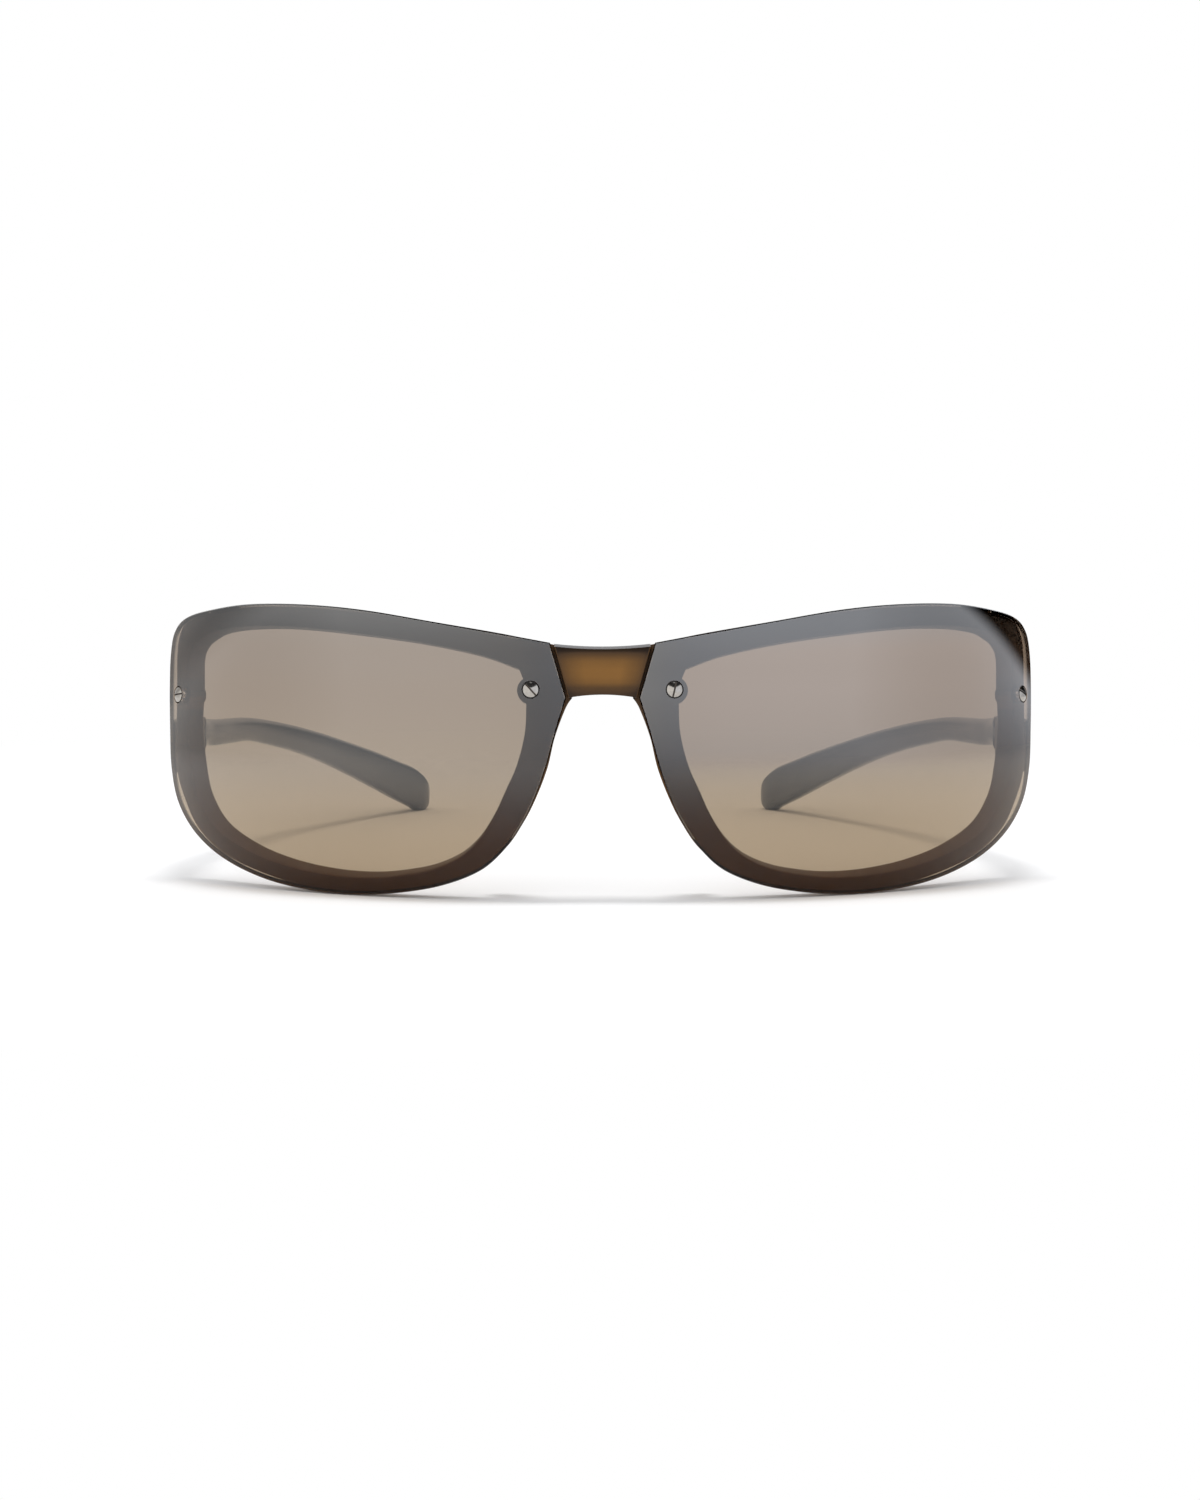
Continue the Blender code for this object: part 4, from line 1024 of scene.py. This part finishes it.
def screw_tree():
    """Slotted screw with a domed head above z = 0 and its shank below, on every point."""
    tree, sizes = node_tree(
        "slotted_screw",
        (
            "Head Radius", "Head Side", "Dome Height", "Shank Radius", "Length", "Slot Width",
            "Slot Depth",
        ),
    )
    root = node(tree, "ShaderNodeMath", sizes["Head Side"], 2.0, operation="DIVIDE")
    head = node(tree, "GeometryNodeMeshCylinder", {
        "Radius": sizes["Head Radius"], "Depth": sizes["Head Side"], "Vertices": 64,
        "Side Segments": 1, "Fill Segments": 10,
    }, fill_type="TRIANGLE_FAN")
    head = raised(tree, head["Mesh"], root)
    # the top swells into a dome, highest in its middle
    split = node(tree, "ShaderNodeSeparateXYZ", node(tree, "GeometryNodeInputPosition"))
    flat = node(tree, "ShaderNodeCombineXYZ", split["X"], split["Y"])
    over = node(tree, "ShaderNodeVectorMath", flat, operation="LENGTH")["Value"]
    share = node(tree, "ShaderNodeMath", over, sizes["Head Radius"], operation="DIVIDE")
    square = node(tree, "ShaderNodeMath", share, 2.0, operation="POWER")
    fall = node(tree, "ShaderNodeMath", 1.0, square, operation="SUBTRACT")
    bulge = node(tree, "ShaderNodeMath", fall, sizes["Dome Height"], operation="MULTIPLY")
    rise = node(tree, "ShaderNodeCombineXYZ", {"Z": bulge})
    on_top = node(
        tree, "FunctionNodeCompare", {"A": split["Z"], "B": root},
        data_type="FLOAT", operation="GREATER_THAN",
    )
    dome = node(
        tree, "GeometryNodeSetPosition", {"Geometry": head, "Selection": on_top, "Offset": rise}
    )
    # the shank starts inside the head
    deep = node(tree, "ShaderNodeMath", sizes["Length"], root, operation="ADD")
    shank = node(tree, "GeometryNodeMeshCylinder", {
        "Radius": sizes["Shank Radius"], "Depth": deep, "Vertices": ROUND_SIDES,
    }, fill_type="NGON")
    below = node(tree, "ShaderNodeMath", root, sizes["Length"], operation="SUBTRACT")
    middle = node(tree, "ShaderNodeMath", below, 2.0, operation="DIVIDE")
    shank = raised(tree, shank["Mesh"], middle)
    whole = node(
        tree, "GeometryNodeMeshBoolean", {"Mesh 2": [dome, shank]}, operation="UNION",
        solver="EXACT",
    )
    # the slot, cut from above
    wide = node(tree, "ShaderNodeMath", sizes["Head Radius"], 3.0, operation="MULTIPLY")
    tall = node(tree, "ShaderNodeMath", sizes["Slot Depth"], 2.0, operation="MULTIPLY")
    extent = node(tree, "ShaderNodeCombineXYZ", wide, sizes["Slot Width"], tall)
    cutter = node(tree, "GeometryNodeMeshCube", {"Size": extent})["Mesh"]
    top = node(
        tree, "ShaderNodeMath", sizes["Head Side"], sizes["Dome Height"], operation="ADD"
    )
    slotted = node(
        tree, "GeometryNodeMeshBoolean", {"Mesh 1": whole, "Mesh 2": raised(tree, cutter, top)},
        operation="DIFFERENCE", solver="EXACT",
    )
    # the slot's floor is marked for the painted shade in it
    floor = node(tree, "ShaderNodeMath", top, sizes["Slot Depth"], operation="SUBTRACT")
    sunk = node(tree, "ShaderNodeMath", split["Z"], floor, SAME_PLACE, operation="COMPARE")
    marked = node(
        tree, "GeometryNodeStoreNamedAttribute",
        {"Geometry": slotted, "Name": "sunk", "Value": sunk}, data_type="FLOAT", domain="POINT",
    )
    stand_on_points(tree, sizes, marked)
    return tree


def ring_tree():
    """Ring with eased edges that stands on z = 0, on every point: washers and inserts."""
    tree, sizes = node_tree("turned_ring", ("Outer Radius", "Inner Radius", "Height", "Easing"))
    both = (sizes["Outer Radius"], sizes["Inner Radius"])
    across = node(tree, "ShaderNodeMath", *both, operation="SUBTRACT")
    sum_of_both = node(tree, "ShaderNodeMath", *both, operation="ADD")
    middle = node(tree, "ShaderNodeMath", sum_of_both, 2.0, operation="DIVIDE")
    rail = node(tree, "GeometryNodeCurvePrimitiveCircle", {"Radius": middle, "Resolution": 64})
    section = node(
        tree, "GeometryNodeCurvePrimitiveQuadrilateral",
        {"Width": across, "Height": sizes["Height"]},
    )
    eased = node(
        tree, "GeometryNodeFilletCurve",
        {"Curve": section, "Radius": sizes["Easing"], "Count": 3}, mode="POLY",
    )
    band = node(tree, "GeometryNodeCurveToMesh", {"Curve": rail, "Profile Curve": eased})
    centre = node(tree, "ShaderNodeMath", sizes["Height"], 2.0, operation="DIVIDE")
    stand_on_points(tree, sizes, raised(tree, band, centre))
    return tree


def add_set(name, tree, sizes, material, seats, replaced):
    """One kind of small turned or moulded part on all its seats (point, axis, turn about it)."""
    mesh = bpy.data.meshes.new(name)
    mesh.from_pydata([tuple(point) for point, axis, turn in seats], [], [])
    turns = mesh.attributes.new("turn", "QUATERNION", "POINT")
    for spot, (point, axis, turn) in zip(turns.data, seats):
        spot.value = axis.to_track_quat("Z", "Y") @ Quaternion((0, 0, 1), turn)
    body = add_object(name, mesh)
    modifier = body.modifiers.new(tree.name, "NODES")
    modifier.node_group = tree
    given = sizes | {"Material": material}
    for item in tree.interface.items_tree:
        if item.in_out == "INPUT" and item.name in given:
            modifier[item.identifier] = given[item.name]
    made = baked(body)
    turned_out(made)
    smoothed(made, 30)
    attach(body, "front")
    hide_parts(*replaced)


def add_hardware():
    """Lens and hinge screws, with their washers and inserts."""
    screws, rings = screw_tree(), ring_tree()
    heads, washers, inserts, suffixes = [], [], [], []
    insert_foot = RIM_FACE - HARDWARE_GAP - INSERT_LENGTH
    for place in SCREW_SHARES:
        for side, wearer in SIDES:
            point, normal = screw_seat(place, side)
            heads.append((point + normal * HEAD_SEAT, normal, SLOT_TURNS[place, side]))
            washers.append((point + normal * (HARDWARE_GAP - SINK_DEPTH), normal, 0))
            inserts.append((point + normal * insert_foot, normal, 0))
            suffixes.append(f"{place}_{wearer}")
    lens_screw = {
        "Head Radius": SCREW_HEAD_RADIUS, "Head Side": 0.00014, "Dome Height": 0.00036,
        "Shank Radius": SCREW_RADIUS, "Length": HEAD_SEAT + LENS_THICKNESS + SEAT_GAP + SCREW_GRIP,
        "Slot Width": 0.00026, "Slot Depth": 0.0004,
    }
    named = [f"lens_screw_{suffix}" for suffix in suffixes]
    add_set("lens_screws_turned", screws, lens_screw, nickel_silver, heads, named)
    washer = {
        "Outer Radius": WASHER_RADIUS, "Inner Radius": HOLE_RADIUS, "Height": WASHER_THICKNESS,
        "Easing": WASHER_EASING,
    }
    named = [f"lens_washer_{suffix}" for suffix in suffixes]
    add_set("lens_washers_moulded", rings, washer, black_nylon, washers, named)
    insert = {
        "Outer Radius": INSERT_RADIUS, "Inner Radius": HOLE_RADIUS, "Height": INSERT_LENGTH,
        "Easing": INSERT_EASING,
    }
    named = [f"lens_insert_{suffix}" for suffix in suffixes]
    add_set("lens_inserts_turned", rings, insert, brass, inserts, named)

    seat_z, foot_z = LUG_TOP - HINGE_HEAD_HEIGHT, HARDWARE_GAP - LUG_TOP
    up = Vector((0, 0, 1))
    heads, inserts = [], []
    for side, wearer in SIDES:
        at = Vector((side * HINGE_X, HINGE_Y, HINGE_Z))
        heads.append((at + up * seat_z, up, side * HINGE_SLOT_TURN))
        inserts.append((at + up * foot_z, up, 0))
    hinge_screw = {
        "Head Radius": HINGE_HEAD_RADIUS, "Head Side": 0.00018, "Dome Height": 0.00027,
        "Shank Radius": SCREW_RADIUS, "Length": seat_z - foot_z,
        "Slot Width": 0.00034, "Slot Depth": 0.0003,
    }
    named = [f"hinge_screw_{wearer}" for side, wearer in SIDES]
    add_set("hinge_screws_turned", screws, hinge_screw, nickel_silver, heads, named)
    insert["Height"] = HINGE_INSERT_HEIGHT
    named = [f"hinge_insert_{wearer}" for side, wearer in SIDES]
    add_set("hinge_inserts_turned", rings, insert, brass, inserts, named)


def room_light(tree, way):
    """Colour and strength of the room as reflections see it, by direction: white walls, cooler on
    the wearer's left, a dark ceiling round a lamp overhead, and a dark doorway behind on each
    side."""
    split = node(tree, "ShaderNodeSeparateXYZ", way)
    soft = {"interpolation_type": "SMOOTHSTEP"}
    cooler = node(tree, "ShaderNodeMapRange", split["X"], COOL_START, COOL_FULL, **soft)
    white, cool = linear("ffffff"), linear("f3f7ff")
    hue = node(tree, "ShaderNodeMix", {0: cooler, 6: white, 7: cool}, data_type="RGBA")["Result"]
    aside = node(tree, "ShaderNodeMath", split["X"], operation="ABSOLUTE")
    walls = node(tree, "ShaderNodeValToRGB", aside, stops=numbers(WALL_LIGHT))
    # a doorway's edge slants back
    slant = node(
        tree, "ShaderNodeMath", split["Y"], DOORWAY_SLANT, split["Z"], operation="MULTIPLY_ADD"
    )
    dark = 0.0
    for low, high, depth, inner, outer in DOORWAYS:
        door = node(tree, "ShaderNodeMapRange", slant, low, high, 0.0, depth, **soft)
        beyond = node(tree, "ShaderNodeMapRange", split["X"], inner, outer, **soft)
        door = node(tree, "ShaderNodeMath", door, beyond, operation="MULTIPLY")
        dark = node(tree, "ShaderNodeMath", door, dark, operation="MAXIMUM")
    # the ceiling starts lower in the middle than at the sides, and ends before what lies behind
    height = node(
        tree, "ShaderNodeMath", aside, CEILING_DIP, split["Z"], operation="MULTIPLY_ADD"
    )
    ceiling = node(tree, "ShaderNodeValToRGB", height, stops=numbers(CEILING_DARK))
    before = node(tree, "ShaderNodeMapRange", split["Y"], CEILING_END, CEILING_FULL, **soft)
    ceiling = node(tree, "ShaderNodeMath", ceiling, before, operation="MULTIPLY")
    dark = node(tree, "ShaderNodeMath", dark, ceiling, operation="MAXIMUM")
    light = node(
        tree, "ShaderNodeMath", dark, -ROOM_LEVEL, ROOM_LEVEL, operation="MULTIPLY_ADD"
    )
    strength = node(tree, "ShaderNodeMath", walls, light, operation="MULTIPLY")
    return {"Color": hue, "Strength": strength}


def add_floor():
    """White paper sweep. It keeps the shadow near the pair and runs out into pure white."""
    mesh = bpy.data.meshes.new("floor")
    corners = [(x * FLOOR_HALF, y * FLOOR_HALF, 0) for x, y in ((-1, -1), (1, -1), (1, 1), (-1, 1))]
    mesh.from_pydata(corners, [], [(0, 1, 2, 3)])
    floor = add_object("floor", mesh)
    material, tree, place = new_material("white_paper_sweep")
    path = node(tree, "ShaderNodeLightPath")
    straight = node(
        tree, "ShaderNodeMath", path["Is Camera Ray"], path["Is Transmission Ray"],
        operation="MAXIMUM",
    )
    seen = node(tree, "ShaderNodeMath", straight, path["Is Glossy Ray"], operation="MAXIMUM")
    # what the paper throws back on the pair is a little greyer than what the eye sees of it
    tone = node(
        tree, "ShaderNodeMix",
        {0: path["Is Camera Ray"], 6: linear("f1f1f1"), 7: linear("ffffff")}, data_type="RGBA",
    )
    paper = node(tree, "ShaderNodeBsdfDiffuse", tone["Result"])
    away = node(tree, "ShaderNodeVectorMath", place, operation="LENGTH")["Value"]
    way = node(tree, "ShaderNodeVectorMath", place, operation="NORMALIZE")
    white = node(tree, "ShaderNodeEmission", linear("ffffff"), 1.0)
    room = node(tree, "ShaderNodeEmission", room_light(tree, way))
    # rays that come through a lens count as both kinds
    mirrored_only = node(
        tree, "ShaderNodeMath", path["Is Glossy Ray"], path["Is Transmission Ray"],
        operation="SUBTRACT", use_clamp=True,
    )
    beyond = node(tree, "ShaderNodeMixShader", mirrored_only, white, room)
    far = node(
        tree, "ShaderNodeMapRange", away, SHADOW_END, WHITE_START, interpolation_type="SMOOTHSTEP"
    )
    far = node(tree, "ShaderNodeMath", far, seen, operation="MULTIPLY")
    both = node(tree, "ShaderNodeMixShader", far, paper, beyond)
    node(tree, "ShaderNodeOutputMaterial", both)
    mesh.materials.append(material)


def add_world():
    """Even light on the pair, white for the camera and through the lenses, the room for gloss."""
    world = bpy.data.worlds.new("studio")
    bpy.context.scene.world = world
    world.use_nodes = True
    tree = world.node_tree
    tree.nodes.clear()
    path = node(tree, "ShaderNodeLightPath")
    fill = node(tree, "ShaderNodeBackground", linear("fcfdff"), FILL_LEVEL)
    white = node(tree, "ShaderNodeBackground", linear("ffffff"), 1.0)
    way = node(tree, "ShaderNodeTexCoord")["Generated"]
    room = node(tree, "ShaderNodeBackground", room_light(tree, way))
    straight = node(
        tree, "ShaderNodeMath", path["Is Camera Ray"], path["Is Transmission Ray"],
        operation="MAXIMUM",
    )
    around = node(tree, "ShaderNodeMixShader", path["Is Glossy Ray"], fill, room)
    both = node(tree, "ShaderNodeMixShader", straight, around, white)
    node(tree, "ShaderNodeOutputWorld", both)


def add_light(name, at, aim, size, power):
    """Softbox at a place in metres, that lights the pair and isn't seen in it."""
    data = bpy.data.lights.new(name, "AREA")
    data.shape = "RECTANGLE"
    data.size, data.size_y = size
    data.energy = power
    lamp = add_object(name, data)
    lamp.location = at
    lamp.rotation_euler = (Vector(at) - Vector(aim)).to_track_quat("Z", "Y").to_euler()
    lamp.visible_glossy = False
    lamp.visible_transmission = False
    lamp.visible_camera = False


def add_camera():
    data = bpy.data.cameras.new("camera")
    data.sensor_fit = "HORIZONTAL"
    data.sensor_width = SENSOR_MM
    data.lens = PHOTO_FOCAL_LENGTH / PHOTO_WIDTH * SENSOR_MM
    data.clip_start, data.clip_end = 0.05, 20
    camera = add_object("camera", data)
    level = math.cos(CAMERA_RISE)
    away = Vector(
        (level * math.sin(CAMERA_YAW), -level * math.cos(CAMERA_YAW), math.sin(CAMERA_RISE))
    )
    camera.location = CAMERA_AIM + CAMERA_DISTANCE * away
    camera.rotation_euler = away.to_track_quat("Z", "Y").to_euler()
    bpy.context.scene.camera = camera


lens_front = lens_material("mirrored_polycarbonate", "front")
lens_body = lens_material("dyed_polycarbonate", "body")
lens_edge = lens_material("dyed_polycarbonate_edge", "edge")
satin_nylon = nylon_material("satin_smoke_nylon", "483421", PAINTED_RIM_LIGHT, 0.0, 0.32)
polished_nylon = nylon_material("polished_smoke_nylon", "373d47", PAINTED_TEMPLE_LIGHT, 0.62, 0.22)
nickel_silver = metal_material("nickel_silver_turned", "bdb8b1", "b0aba4", 0.16)
brass = metal_material("brass_turned", "b5924c", "a98646", 0.3)
black_nylon = washer_material("black_nylon_moulded")

add_front()
for side, wearer in SIDES:
    add_lens(side, wearer)
    add_temple(side, wearer)
add_hardware()

bpy.context.scene.view_settings.view_transform = "Standard"
add_floor()
add_world()
add_light("top_softbox", (0.0, -0.05, 0.9), (0, -0.02, 0), (0.28, 0.20), 2.9)
add_light("front_softbox", (-0.3, -1.0, 0.5), (0, 0, 0.02), (0.7, 0.5), 1.2)
add_camera()
